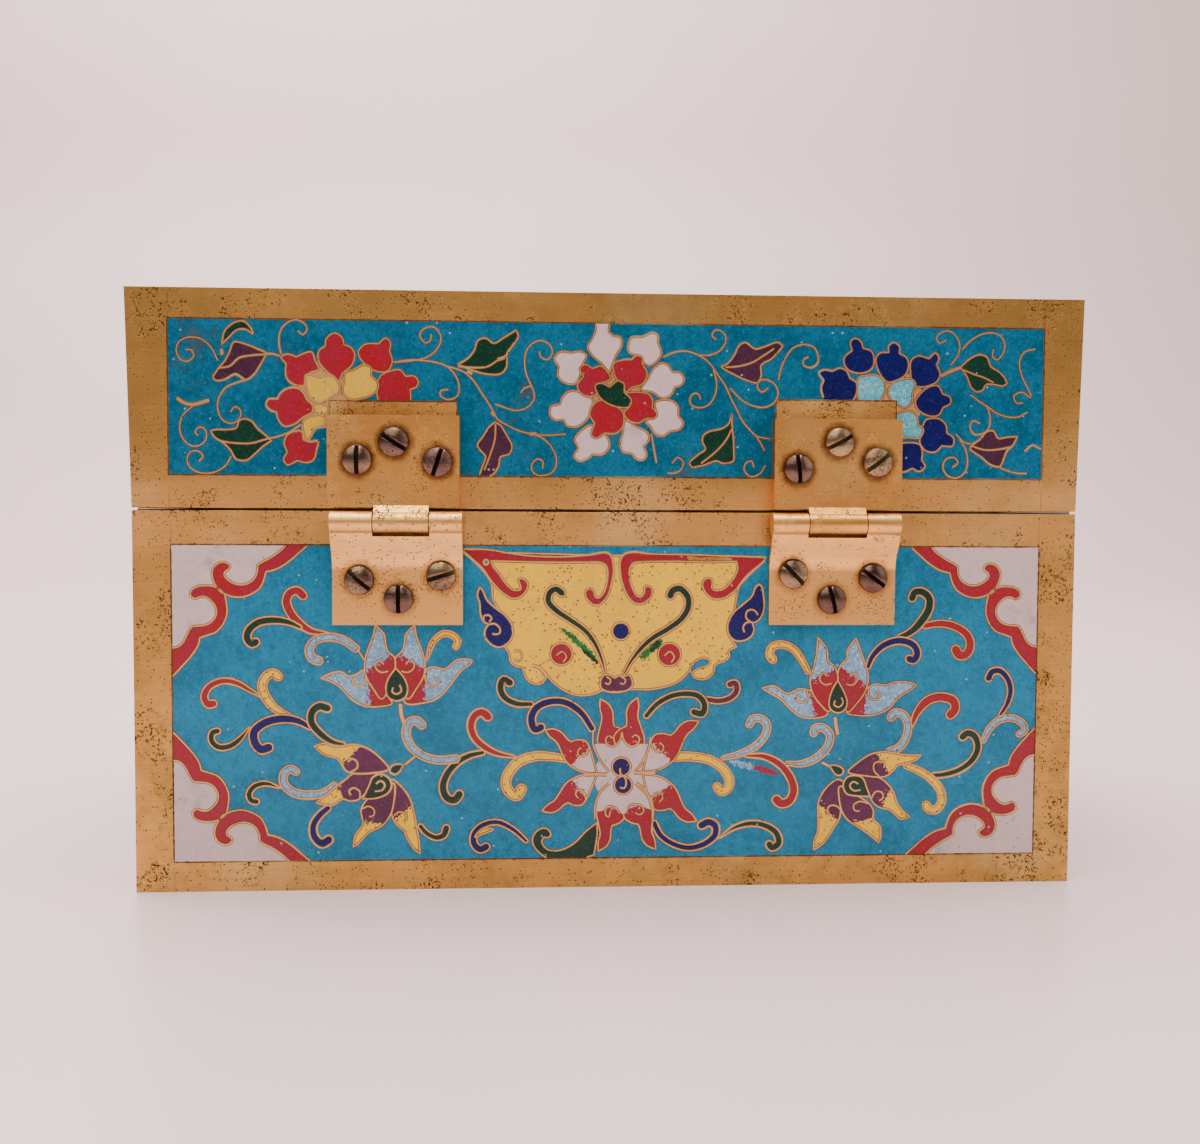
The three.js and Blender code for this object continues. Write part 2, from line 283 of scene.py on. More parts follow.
def frame_box(name, foot, top, stile, window, lands, open_top):
    """A brass box with recesses for the enamel of its four sides, its hinge lands left standing."""
    joint = sizes().joint_width / MM
    depth = sizes().joint_depth / MM
    piece = block(name, (-HALF_WIDTH, -HALF_DEPTH, foot), (HALF_WIDTH, HALF_DEPTH, top))
    begin_edit(piece)
    side_x = HALF_WIDTH - stile
    side_y = HALF_DEPTH - stile
    land_x = [x for land in lands.values() for x in land[:2]]
    inner_x = HALF_WIDTH - WALL
    inner_y = HALF_DEPTH - WALL
    slice_across(0, [s * x for s in (-1, 1) for x in (side_x, side_x - joint, inner_x)] + land_x)
    slice_across(1, [s * y for s in (-1, 1) for y in (side_y, side_y - joint, inner_y)])
    land_z = sorted({land[2] for land in lands.values()})
    slice_across(2, list(window) + land_z)

    def on_land(middle):
        for x0, x1, edge in lands.values():
            inside = middle.z > edge if open_top else middle.z < edge
            if x0 < middle.x < x1 and inside:
                return True
        return False

    def in_window(middle):
        return window[0] < middle.z < window[1]

    for sign in (-1, 1):
        select_faces(piece, lambda m, n: n.y * sign > 0.9 and at(m.y, sign * HALF_DEPTH)
                     and abs(m.x) < side_x and in_window(m) and not (sign > 0 and on_land(m)))
        push((0, -sign * INLAY, 0))
        select_faces(piece, lambda m, n: n.x * sign > 0.9 and at(m.x, sign * HALF_WIDTH)
                     and abs(m.y) < side_y and in_window(m))
        push((-sign * INLAY, 0, 0))
        select_faces(piece, lambda m, n: n.y * sign > 0.9 and at(m.y, sign * HALF_DEPTH)
                     and side_x - joint < abs(m.x) < side_x and not in_window(m))
        push((0, -sign * depth, 0))
        select_faces(piece, lambda m, n: n.x * sign > 0.9 and at(m.x, sign * HALF_WIDTH)
                     and side_y - joint < abs(m.y) < side_y and not in_window(m))
        push((-sign * depth, 0, 0))
    if open_top:
        select_faces(piece, lambda m, n: n.z > 0.9 and at(m.z, top)
                     and abs(m.x) < inner_x and abs(m.y) < inner_y)
        push((0, 0, foot + FLOOR - top))
    else:
        select_faces(piece, lambda m, n: n.z < -0.9 and at(m.z, foot)
                     and abs(m.x) < inner_x and abs(m.y) < inner_y)
        push((0, 0, top - WALL - foot))
    end, way = (top, 1) if open_top else (foot, -1)
    lip_x = HALF_WIDTH - LIP
    lip_y = HALF_DEPTH - LIP
    slice_level(piece, end, way, lip_x, lip_y)
    select_faces(piece, lambda m, n: n.z * way > 0.9 and at(m.z, end)
                 and abs(m.x) < lip_x and abs(m.y) < lip_y)
    push((0, 0, way * LIP_RISE))
    end_edit()
    return piece


SQUARE_EDGE = 1.2  # radians between the faces at an edge that gets rounded
OUTER_SHARE = 0.84  # of the edge rounding, on top of what every square edge gets
INNER_SHARE = 0.16


def round_outside(piece, foot, top):
    """Rounds the outer edges of a brass box, and takes the sharpness off its other edges."""
    def outer(one, other, edge):
        if len(edge.link_faces) != 2 or edge.calc_face_angle(0) < SQUARE_EDGE:
            return False
        outside = [abs(one.x) > HALF_WIDTH - 0.1 and abs(other.x) > HALF_WIDTH - 0.1,
                   abs(one.y) > HALF_DEPTH - 0.1 and abs(other.y) > HALF_DEPTH - 0.1,
                   any(at(one.z, z, 0.1) and at(other.z, z, 0.1) for z in (foot, top))]
        return sum(outside) >= 2

    begin_edit(piece)
    select_edges(piece, lambda one, other, edge: len(edge.link_faces) == 2
                 and edge.calc_face_angle(0) > SQUARE_EDGE)
    bpy.ops.transform.edge_bevelweight(value=INNER_SHARE)
    select_edges(piece, outer)
    bpy.ops.transform.edge_bevelweight(value=OUTER_SHARE)
    end_edit()
    add_modifier(piece, "BEVEL", width=sizes().edge_round, segments=3, limit_method="WEIGHT",
                 use_clamp_overlap=True, loop_slide=True)
    smooth(piece, 35)
    weigh_normals(piece)


def finish_frame(piece, body, node, lands, window, floor, ceiling):
    """Brass outside, rough brass on the hinge lands, near-black brass on the rims as painted shade in the
    seam, plain enamel in the cavity.
    """
    dress(piece, material("frame_brass"), body, "brass", node)
    give_faces(piece, "land_brass", lambda m, n: n.y > 0.9 and at(m.y, HALF_DEPTH, 0.1)
               and window[0] < m.z < window[1] and any(x0 < m.x < x1 for x0, x1, _ in lands))
    rim = BODY_HEIGHT if body == "base" else LID_FOOT
    # The rim faces seen through the seam get near-black brass: painted shade in the gap between lid and
    # body.
    give_faces(piece, "seam_shade_brass", lambda m, n: abs(m.z - rim) < 0.3 and (
        abs(n.z) > 0.6 or abs(m.x) < HALF_WIDTH - 0.3 and abs(m.y) < HALF_DEPTH - 0.3))
    give_faces(piece, "inner_enamel", lambda m, n: abs(m.x) < HALF_WIDTH - WALL + 0.1
               and abs(m.y) < HALF_DEPTH - WALL + 0.1 and floor < m.z < ceiling)


class BOX_OT_body_frame(Operator):
    """Brass frame of the body, with its walls, its floor and the recesses for the enamel"""
    bl_idname = "box.body_frame"
    bl_label = "Body frame"

    def execute(self, context):
        piece = frame_box("body_frame", 0, BODY_HEIGHT, BODY_STILE, BODY_WINDOW, BODY_LANDS, True)
        round_outside(piece, 0, BODY_HEIGHT)
        finish_frame(piece, "base", "body_carcass", BODY_LANDS.values(), BODY_WINDOW,
                     FLOOR - 0.1, BODY_HEIGHT - 0.4)
        return {"FINISHED"}


class BOX_OT_lid_frame(Operator):
    """Brass frame of the lid, its ends leaning out a little, with a recess in its top"""
    bl_idname = "box.lid_frame"
    bl_label = "Lid frame"

    def execute(self, context):
        piece = frame_box("lid_frame", LID_FOOT, LID_TOP, LID_STILE, LID_WINDOW, LID_LANDS, False)
        begin_edit(piece)
        height = LID_TOP - LID_FOOT
        levels = list(LID_WINDOW) + [LID_TOP, LID_TOP - WALL] + [
            land[2] for land in LID_LANDS.values()]
        for level in sorted(set(levels)):
            for sign in (-1, 1):
                select_points(piece, lambda co: at(co.z, level) and co.x * sign > END_REGION)
                shift((sign * LID_LEAN * (level - LID_FOOT) / height, 0, 0))
        top_x = HALF_WIDTH + LID_LEAN - TOP_FRAME
        top_y = HALF_DEPTH - TOP_FRAME
        slice_level(piece, LID_TOP, 1, top_x, top_y)
        select_faces(piece, lambda m, n: n.z > 0.9 and at(m.z, LID_TOP)
                     and abs(m.x) < top_x and abs(m.y) < top_y)
        push((0, 0, -INLAY))
        end_edit()
        round_outside(piece, LID_FOOT, LID_TOP)
        finish_frame(piece, "lid", "lid_carcass", LID_LANDS.values(), LID_WINDOW,
                     LID_FOOT + 0.4, LID_TOP - WALL + 0.1)
        return {"FINISHED"}


def slice_level(piece, level, way, wide, deep):
    """Cuts only the faces at one height that look up or down, at the edges of a rectangle."""
    for axis, place in ((0, -wide), (0, wide), (1, -deep), (1, deep)):
        select_faces(piece, lambda m, n: n.z * way > 0.9 and at(m.z, level))
        cut(axis, place)


# ---- finishes ---------------------------------------------------------------------------------
class Wiring:
    """Nodes of one material or group, placed left to right as they are made."""

    def __init__(self, tree):
        self.tree = tree
        self.count = 0

    def node(self, kind, inputs=None, **settings):
        made = self.tree.nodes.new("ShaderNode" + kind)
        made.location = (200 * (self.count % 12), -260 * (self.count // 12))
        self.count += 1
        for name, value in settings.items():
            setattr(made, name, value)
        for name, value in (inputs or {}).items():
            socket = made.inputs[name]
            if isinstance(value, bpy.types.NodeSocket):
                self.tree.links.new(value, socket)
            else:
                socket.default_value = value
        return made

    def math(self, operation, first, second=0.0, third=0.0, clamp=False):
        made = self.node("Math", {0: first, 1: second, 2: third}, operation=operation)
        made.use_clamp = clamp
        return made.outputs[0]

    def mix(self, factor, first, second, blend="MIX"):
        made = self.node("Mix", {0: factor, 6: first, 7: second}, data_type="RGBA",
                         blend_type=blend)
        return made.outputs[2]

    def ramp(self, value, low, high, out_low=0.0, out_high=1.0):
        made = self.node("MapRange", {"Value": value, "From Min": low, "From Max": high,
                                      "To Min": out_low, "To Max": out_high},
                         interpolation_type="SMOOTHSTEP")
        return made.outputs["Result"]

    def noise(self, place, scale, detail=3.0, rough=0.5):
        made = self.node("TexNoise", {"Vector": place, "Scale": scale, "Detail": detail,
                                      "Roughness": rough})
        return made.outputs["Fac"]

    def place(self, stretch=(1, 1, 1), shift=(0, 0, 0)):
        where = self.node("TexCoord").outputs["Object"]
        made = self.node("Mapping", {"Vector": where, "Scale": stretch, "Location": shift})
        return made.outputs["Vector"]


def group(name, inputs, outputs):
    tree = bpy.data.node_groups.new(name, "ShaderNodeTree")
    for label, kind, value in inputs:
        socket = tree.interface.new_socket(name=label, in_out="INPUT", socket_type=kind)
        socket.default_value = value
    for label, kind in outputs:
        tree.interface.new_socket(name=label, in_out="OUTPUT", socket_type=kind)
    wiring = Wiring(tree)
    given = tree.nodes.new("NodeGroupInput")
    result = tree.nodes.new("NodeGroupOutput")
    given.location = (-300, 0)
    result.location = (2600, 0)
    return tree, wiring, given.outputs, result.inputs


FLOAT = "NodeSocketFloat"
COLOR = "NodeSocketColor"


def metal_group():
    """Rubbed brass: brushing along the faces, clouded tarnish, pits and brown dirt in them."""
    name = "rubbed_metal"
    if name in bpy.data.node_groups:
        return bpy.data.node_groups[name]
    tree, w, given, result = group(name, [
        ("Metal", COLOR, (0.6, 0.35, 0.1, 1)), ("Tarnish", COLOR, (0.3, 0.17, 0.05, 1)),
        ("Dirt", COLOR, (0.08, 0.035, 0.015, 1)), ("Clouding", FLOAT, 0.5),
        ("Brushing", FLOAT, 0.5), ("Pitting", FLOAT, 0.5), ("Roughness", FLOAT, 0.3),
    ], [("Color", COLOR), ("Roughness", FLOAT), ("Height", FLOAT)])
    clouds = w.noise(w.place(), 70, 4, 0.6)
    patches = w.noise(w.place(shift=(0.3, 0.1, 0.2)), 420, 4, 0.65)
    lines = w.noise(w.place((60, 60, 5200)), 1.0, 4, 0.7)
    top_lines = w.noise(w.place((60, 5200, 1)), 1.0, 4, 0.7)
    up = w.node("SeparateXYZ", {0: w.node("NewGeometry").outputs["Normal"]}).outputs[2]
    facing_up = w.ramp(w.math("ABSOLUTE", up), 0.5, 0.9)
    brush = w.node("Mix", {0: facing_up, 2: lines, 3: top_lines}).outputs[0]
    cells = w.node("TexVoronoi", {"Vector": w.place(), "Scale": 1900, "Randomness": 1.0})
    chance = w.node("SeparateXYZ", {0: cells.outputs["Color"]}).outputs[0]
    area = w.ramp(w.noise(w.place(shift=(0.7, 0.4, 0)), 60, 4, 0.6), 0.40, 0.62, 0.15, 1.0)
    reach = w.math("MULTIPLY", w.math("MULTIPLY", given["Pitting"], area), 0.45)
    chosen = w.math("LESS_THAN", chance, reach)
    dot = w.ramp(cells.outputs["Distance"], 0.12, 0.34, 1, 0)
    pits = w.math("MULTIPLY", dot, chosen)
    blots = w.ramp(w.noise(w.place(shift=(0.5, 0.2, 0.8)), 150, 4, 0.65), 0.50, 0.62)
    fine = w.ramp(w.noise(w.place(shift=(0.2, 0.9, 0.5)), 2400, 3, 0.7), 0.53, 0.60)
    rust = w.math("MULTIPLY", w.math("MULTIPLY", fine, blots), given["Pitting"])
    dirt = w.math("MAXIMUM", pits, rust, clamp=True)
    cloud = w.ramp(w.math("ADD", w.math("MULTIPLY", clouds, 0.6),
                          w.math("MULTIPLY", patches, 0.4)), 0.38, 0.66)
    shade = w.math("MULTIPLY", cloud, given["Clouding"], clamp=True)
    tone = w.mix(shade, given["Metal"], given["Tarnish"])
    rubbed = w.ramp(w.noise(w.place(shift=(0.9, 0.6, 0.3)), 48, 3, 0.6), 0.50, 0.68)
    rubbed = w.math("MULTIPLY", rubbed, w.math("MULTIPLY", given["Clouding"], 0.35))
    tone = w.mix(rubbed, tone, (0.85, 0.62, 0.26, 1))
    streak = w.math("MULTIPLY", w.ramp(brush, 0.3, 0.72, -0.5, 0.5), given["Brushing"])
    bright = w.math("MULTIPLY_ADD", streak, 0.35, 1.0)
    tone = w.mix(1.0, tone, w.node("CombineColor", {0: bright, 1: bright, 2: bright}).outputs[0],
                 "MULTIPLY")
    w.tree.links.new(w.mix(w.math("MULTIPLY", dirt, 0.92), tone, given["Dirt"]), result["Color"])
    rough = w.math("MULTIPLY_ADD", w.math("SUBTRACT", patches, 0.5), 0.25, given["Roughness"])
    rough = w.math("ADD", rough, w.math("MULTIPLY", dirt, 0.35), clamp=True)
    w.tree.links.new(rough, result["Roughness"])
    rise = w.math("MULTIPLY", streak, 0.25)
    rise = w.math("MULTIPLY_ADD", patches, 0.35, rise)
    w.tree.links.new(w.math("MULTIPLY_ADD", dirt, -1.0, rise), result["Height"])
    return tree


def enamel_group():
    """Fired enamel: a clouded, grainy colour with pinholes, as it comes from grinding flat."""
    name = "fired_enamel"
    if name in bpy.data.node_groups:
        return bpy.data.node_groups[name]
    tree, w, given, result = group(name, [
        ("Glaze", COLOR, (0.01, 0.2, 0.35, 1)), ("Deep", COLOR, (0.005, 0.1, 0.2, 1)),
        ("Grain", COLOR, (0.05, 0.35, 0.45, 1)), ("Clouding", FLOAT, 0.5),
        ("Graining", FLOAT, 0.5), ("Pinholes", FLOAT, 0.3), ("Smudges", FLOAT, 0.0),
        ("Hole", COLOR, (0.02, 0.012, 0.01, 1)),
    ], [("Color", COLOR), ("Roughness", FLOAT), ("Height", FLOAT)])
    clouds = w.math("ADD", w.math("MULTIPLY", w.noise(w.place(), 130, 4, 0.6), 0.55),
                    w.math("MULTIPLY", w.noise(w.place(shift=(0.6, 0.2, 0.7)), 800, 3, 0.6), 0.45))
    clouds = w.ramp(clouds, 0.40, 0.64)
    tone = w.mix(w.math("MULTIPLY", clouds, given["Clouding"]), given["Glaze"], given["Deep"])
    grain = w.ramp(w.noise(w.place(shift=(0.4, 0.8, 0.1)), 2300, 3, 0.7), 0.52, 0.70)
    tone = w.mix(w.math("MULTIPLY", grain, given["Graining"]), tone, given["Grain"])
    specks = w.ramp(w.noise(w.place(shift=(0.9, 0.3, 0.6)), 2500, 3, 0.7), 0.50, 0.62)
    tone = w.mix(w.math("MULTIPLY", specks, given["Graining"]), tone, given["Deep"])
    cells = w.node("TexVoronoi", {"Vector": w.place(), "Scale": 1300, "Randomness": 1.0})
    chance = w.node("SeparateXYZ", {0: cells.outputs["Color"]})
    area = w.ramp(w.noise(w.place(shift=(0.1, 0.6, 0.9)), 80, 3, 0.6), 0.40, 0.66, 0.10, 1.0)
    share = w.math("MULTIPLY", given["Pinholes"], area)
    dot = w.ramp(cells.outputs["Distance"], 0.13, 0.30, 1, 0)
    smudges = w.ramp(w.noise(w.place(shift=(0.8, 0.1, 0.4)), 100, 5, 0.7), 0.56, 0.70)
    tone = w.mix(w.math("MULTIPLY", smudges, given["Smudges"]), tone, (0.06, 0.045, 0.04, 1))
    bubbles = w.math("MULTIPLY", dot, w.math("LESS_THAN", chance.outputs[2],
                                             w.math("MULTIPLY", share, 0.35)))
    tone = w.mix(w.math("MULTIPLY", bubbles, 0.5), tone, (0.6, 0.7, 0.7, 1))
    holes = w.math("MULTIPLY", dot, w.math("LESS_THAN", chance.outputs[1], share))
    w.tree.links.new(w.mix(w.math("MULTIPLY", holes, 0.9), tone, given["Hole"]),
                     result["Color"])
    rough = w.math("MULTIPLY_ADD", grain, 0.12, 0.22)
    w.tree.links.new(w.math("MULTIPLY_ADD", holes, 0.5, rough), result["Roughness"])
    swell = w.noise(w.place(shift=(0.5, 0.5, 0.2)), 210, 2, 0.5)
    rise = w.math("MULTIPLY_ADD", grain, -0.12, swell)
    w.tree.links.new(w.math("MULTIPLY_ADD", holes, -1.0, rise), result["Height"])
    return tree


def rgba(value, factor=1.0):
    return tuple(min(1.0, c * factor) for c in value) + (1.0,)


def blend(first, second, share):
    return tuple(a + (b - a) * share for a, b in zip(first, second))


def surface(name, tree, values, bump_mm, metallic=0.0, **shader):
    """A material whose colour, roughness and relief come from a group placed in it."""
    made = bpy.data.materials.new(name)
    made.use_nodes = True
    w = Wiring(made.node_tree)
    body = made.node_tree.nodes["Principled BSDF"]
    made.diffuse_color = rgba(tuple(values.get("Glaze", values.get("Metal")))[:3])
    placed = w.node("Group", node_tree=tree)
    for label, value in values.items():
        placed.inputs[label].default_value = value
    links = made.node_tree.links
    links.new(placed.outputs["Color"], body.inputs["Base Color"])
    links.new(placed.outputs["Roughness"], body.inputs["Roughness"])
    bump = w.node("Bump", {"Strength": 1.0, "Distance": bump_mm * MM})
    links.new(placed.outputs["Height"], bump.inputs["Height"])
    links.new(bump.outputs["Normal"], body.inputs["Normal"])
    body.inputs["Metallic"].default_value = metallic
    for label, value in shader.items():
        body.inputs[label.replace("_", " ")].default_value = value
    return made


def enamel(name, glaze, deep, grain, clouding, graining, pinholes, smudges=0.1, hole=None):
    return surface(name, enamel_group(), {
        "Glaze": rgba(glaze), "Deep": rgba(deep), "Grain": rgba(grain), "Clouding": clouding,
        "Graining": graining, "Pinholes": pinholes, "Smudges": smudges, "Hole": rgba(hole or HOLE)}, 0.03,
        Specular_IOR_Level=0.3)


def metal(name, tone, tarnish, dirt, clouding, brushing, pitting, roughness, bump_mm):
    return surface(name, metal_group(), {
        "Metal": rgba(tone), "Tarnish": rgba(tarnish), "Dirt": rgba(dirt), "Clouding": clouding,
        "Brushing": brushing, "Pitting": pitting, "Roughness": roughness}, bump_mm, 1.0)


BROWN = (0.10, 0.035, 0.012)
PIT = (0.055, 0.02, 0.008)
# Near-black: soot in the pits of the screws and beside the wires, and painted shade in the seam and the
# screw slots.
SOOT_AND_SHADE = (0.02, 0.012, 0.010)
SLOT = (0.02, 0.015, 0.012)
OLIVE = (0.26, 0.17, 0.04)
COPPER = (0.50, 0.26, 0.10)
RUST = (0.30, 0.12, 0.03)
UMBER = (0.10, 0.05, 0.035)
RING_BROWN = (0.16, 0.06, 0.02)
HOLE = (0.03, 0.016, 0.01)
YELLOW_HOLE = (0.13, 0.04, 0.012)


def make_material(name):
    paint = colours()
    brass, hinge, gold, wire, shaded_wire_tone, screw = (tuple(getattr(paint, label)) for label in (
        "brass", "hinge", "gold", "wire", "dull_wire", "screw"))
    metals = {  # tone, tarnish, dirt, clouding, brushing, pitting, roughness, relief in mm
        "frame_brass": (brass, blend(brass, OLIVE, 0.62), PIT, 0.8, 0.5, 1.4, 0.38, 0.02),
        # Near-black brass on the rims: painted shade in the seam.
        "seam_shade_brass": (blend(brass, SOOT_AND_SHADE, 0.85), blend(brass, SOOT_AND_SHADE, 0.95), SOOT_AND_SHADE,
                      0.8, 0.3, 0.8, 0.5, 0.04),
        # Lower leaves in brass lightened as a painted highlight.
        "hinge_brass": (hinge, blend(hinge, COPPER, 0.5), BROWN, 0.6, 0.35, 0.8, 0.36, 0.03),
        "hinge_gold": (gold, blend(gold, RUST, 0.5), BROWN, 0.8, 0.4, 0.9, 0.36, 0.03),
        "land_brass": (blend(brass, BROWN, 0.08), blend(brass, BROWN, 0.55), BROWN,
                       1.0, 0.2, 1.6, 0.5, 0.20),
        "wire_brass": (wire, blend(wire, BROWN, 0.4), BROWN, 0.6, 0.0, 0.3, 0.45, 0.015),
        # Darker wire brass of the lid: painted shade.
        "dull_wire": (shaded_wire_tone, blend(shaded_wire_tone, BROWN, 0.4), BROWN, 0.6, 0.0, 0.3, 0.45, 0.015),
        "wire_edge": (blend(wire, BROWN, 0.90), BROWN, SOOT_AND_SHADE, 0.8, 0.0, 0.3, 0.6, 0.02),
        "screw_steel": (screw, blend(screw, UMBER, 0.75), SOOT_AND_SHADE, 1.0, 0.3, 0.5, 0.27, 0.04),
        # Near-black slot walls and floor: painted shade in the deep slots.
        "slot_shade": (SLOT, SOOT_AND_SHADE, SOOT_AND_SHADE, 0.5, 0.0, 0.3, 0.8, 0.04),
    }
    stains = {"hinge_brass": 0.45, "hinge_gold": 0.85}
    if name in metals:
        made = metal(name, *metals[name])
        # The frame brass gets a paler band beside the seam: a painted reflection.
        if name == "frame_brass":
            return paint_seam_reflection(made)
        return stained(made, stains[name]) if name in stains else made
    if name == "inner_enamel":
        return enamel(name, (0.01, 0.19, 0.27), (0.006, 0.13, 0.20), (0.02, 0.24, 0.32),
                      0.6, 0.2, 0.05)
    glazes = {
        "turquoise": (0.7, 0.6, 0.10), "lagoon": (0.8, 0.6, 0.16), "red": (0.7, 0.6, 0.14),
        "white": (0.5, 0.4, 0.2), "yellow": (0.45, 0.5, 1.3), "lemon": (0.6, 0.5, 0.5),
        "green": (0.7, 0.5, 0.14), "blue": (0.6, 0.4, 0.10), "sky": (0.8, 2.4, 0.3),
        "purple": (0.6, 0.5, 0.16), "plum": (0.6, 0.4, 0.2), "aqua": (0.9, 2.4, 0.22),
        "jade": (1.0, 1.0, 0.2),
    }
    clouding, graining, pinholes = glazes[name]
    glaze = tuple(getattr(paint, name))
    deep_tones = {"white": (0.42, 0.33, 0.36), "yellow": (0.50, 0.27, 0.07),
                  "lemon": (0.30, 0.30, 0.05), "red": (0.22, 0.02, 0.06),
                  "sky": (0.08, 0.15, 0.30), "aqua": (0.0, 0.25, 0.40)}
    deep = blend(glaze, deep_tones[name], 0.6) if name in deep_tones else rgba(glaze, 0.5)[:3]
    grain = blend(glaze, (0.62, 0.72, 0.70), 0.45 if name in ("sky", "aqua") else 0.03)
    smudges = {"lagoon": 0.45, "white": 0.35, "sky": 0.3}.get(name, 0.12)
    hole = YELLOW_HOLE if name == "yellow" else HOLE
    return enamel("enamel_" + name, glaze, deep, grain, clouding, graining, pinholes, smudges,
                  hole)


REFLECTION_BELOW = (54 * MM, 60 * MM)  # heights over which the painted reflection sets in, and over which it ends
REFLECTION_ABOVE = (66 * MM, 70 * MM)
REFLECTION_RAGGED = 4 * MM
REFLECTION_SHARE = 0.7
REFLECTION_PALER = (1.42, 1.36, 1.5, 1)


def paint_seam_reflection(made):
    """Makes the brass paler in a band beside the seam: a painted reflection."""
    w = Wiring(made.node_tree)
    where = w.place()
    height = w.node("SeparateXYZ", {0: where}).outputs[2]
    height = w.math("MULTIPLY_ADD", w.noise(where, 60, 3, 0.6), REFLECTION_RAGGED, height)
    below = w.ramp(height, *REFLECTION_BELOW)
    above = w.ramp(height, *REFLECTION_ABOVE, 1.0, 0.0)
    band = w.math("MULTIPLY", w.math("MULTIPLY", below, above), REFLECTION_SHARE)
    colour_in = made.node_tree.nodes["Principled BSDF"].inputs["Base Color"]
    tone = colour_in.links[0].from_socket
    paler = w.mix(1.0, tone, REFLECTION_PALER, "MULTIPLY")
    made.node_tree.links.new(w.mix(band, tone, paler), colour_in)
    return made


def stained(made, strength):
    """Adds brown rings of old dirt round the screws to a hinge finish."""
    w = Wiring(made.node_tree)
    body = made.node_tree.nodes["Principled BSDF"]
    where = w.place()
    near = None
    for side in HINGE_SIDES:
        for leaf in ("upper", "lower"):
            for count in (1, 2, 3):
                low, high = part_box(f"{side}_hinge_{leaf}_screw_{count}")
                spot = [(a + b) / 2 for a, b in zip(low, high)]
                spot[1] = high[1] - 1.2 * MM
                far = w.node("VectorMath", {0: where, 1: spot}, operation="DISTANCE")
                gap = far.outputs["Value"]
                near = gap if near is None else w.math("MINIMUM", near, gap)
    ragged = w.math("MULTIPLY_ADD", w.noise(where, 900, 4, 0.7), 1.6 * MM, near)
    ring = w.ramp(ragged, 3.1 * MM, 4.4 * MM, strength, 0.0)
    colour_in = body.inputs["Base Color"]
    tone = colour_in.links[0].from_socket
    made.node_tree.links.new(w.mix(ring, tone, rgba(RING_BROWN)), colour_in)
    return made


finishes = {}


def material(name):
    if name not in finishes:
        finishes[name] = make_material(name)
    return finishes[name]


# ---- enamel panels ----------------------------------------------------------------------------
STEP = 0.45  # length of the short lines that a smooth line is made of
INWARD = -0.35  # radians of turning back at which a petal's outline gets a sharp notch


class Face:
    """One side of the box: turns a spot across, up (and out) in millimetres into its place."""

    def __init__(self, out, lean=0.0):
        self.out = out
        self.lean = lean

    def place(self, across, up, rise):
        if self.out == "back":
            spot = (-across, HALF_DEPTH + rise, up)
        elif self.out == "front":
            spot = (across, -HALF_DEPTH - rise, up)
        elif self.out == "top":
            spot = (across, up, LID_TOP + rise)
        else:
            sign = 1 if self.out == "right" else -1
            reach = HALF_WIDTH + self.lean * (up - LID_FOOT) / (LID_TOP - LID_FOOT) + rise
            spot = (sign * reach, sign * across, up)
        return Vector(spot) * MM


def flowing(points, closed, step=STEP):
    """A smooth line through points. A third value of 1 in a point keeps it a sharp corner."""
    count = len(points)
    spots = [Vector(p[:2]) for p in points]
    sharp = [len(p) > 2 and bool(p[2]) for p in points]
    line = []
    for i in range(count if closed else count - 1):
        a, b = spots[i], spots[(i + 1) % count]
        before = spots[(i - 1) % count] if closed or i > 0 else a * 2 - b
        after = spots[(i + 2) % count] if closed or i < count - 2 else b * 2 - a
        if sharp[i]:
            before = a * 2 - b
        if sharp[(i + 1) % count]:
            after = b * 2 - a
        steps = max(1, math.ceil((b - a).length / step))
        for k in range(steps):
            line.append(curve_point(before, a, b, after, k / steps))
    if not closed:
        line.append(spots[-1])
    return line


def cusped(points):
    """The points of an outline, with those where it turns inwards made sharp."""
    count = len(points)
    turns = []
    for i in range(count):
        a, b, c = (Vector(points[(i + k) % count][:2]) for k in (-1, 0, 1))
        turns.append((b - a).angle_signed(c - b, 0))
    way = 1 if sum(turns) > 0 else -1
    return [tuple(p[:2]) + (1,) if turn * way < INWARD else p for p, turn in zip(points, turns)]


def curve_point(p0, p1, p2, p3, t):
    """Centripetal curve through p1 and p2, so that uneven points make no loops."""
    t0 = 0.0
    t1 = t0 + max(1e-4, (p1 - p0).length ** 0.5)
    t2 = t1 + max(1e-4, (p2 - p1).length ** 0.5)
    t3 = t2 + max(1e-4, (p3 - p2).length ** 0.5)
    s = t1 + (t2 - t1) * t
    a1 = p0 * ((t1 - s) / (t1 - t0)) + p1 * ((s - t0) / (t1 - t0))
    a2 = p1 * ((t2 - s) / (t2 - t1)) + p2 * ((s - t1) / (t2 - t1))
    a3 = p2 * ((t3 - s) / (t3 - t2)) + p3 * ((s - t2) / (t3 - t2))
    b1 = a1 * ((t2 - s) / (t2 - t0)) + a2 * ((s - t0) / (t2 - t0))
    b2 = a2 * ((t3 - s) / (t3 - t1)) + a3 * ((s - t1) / (t3 - t1))
    return b1 * ((t2 - s) / (t2 - t1)) + b2 * ((s - t1) / (t2 - t1))


class Design:
    """Cells of enamel and wires drawn on one window, in the order that they are laid."""

    def __init__(self, ground, outline):
        self.ground = ground
        self.outline = [Vector(p) for p in outline]
        self.cells = []
        self.wires = []
        self.origin = Vector((0, 0))
        self.turn = Matrix.Identity(2)
        self.dice = random.Random(3)
        self.gauge = 1.0  # of the wires round cells

    def laid(self, line):
        return [self.turn @ spot + self.origin for spot in line]

    def cell(self, glaze, points, wired=True, closed_line=None, covers=False):
        line = self.laid(closed_line or flowing(points, True))
        self.cells.append((glaze, line, wired or covers))
        if wired:
            self.wires.append((line, True, self.gauge, len(self.cells)))

    def wire(self, points, width=1.0):
        self.wires.append((self.laid(flowing(points, False)), False, width, len(self.cells)))


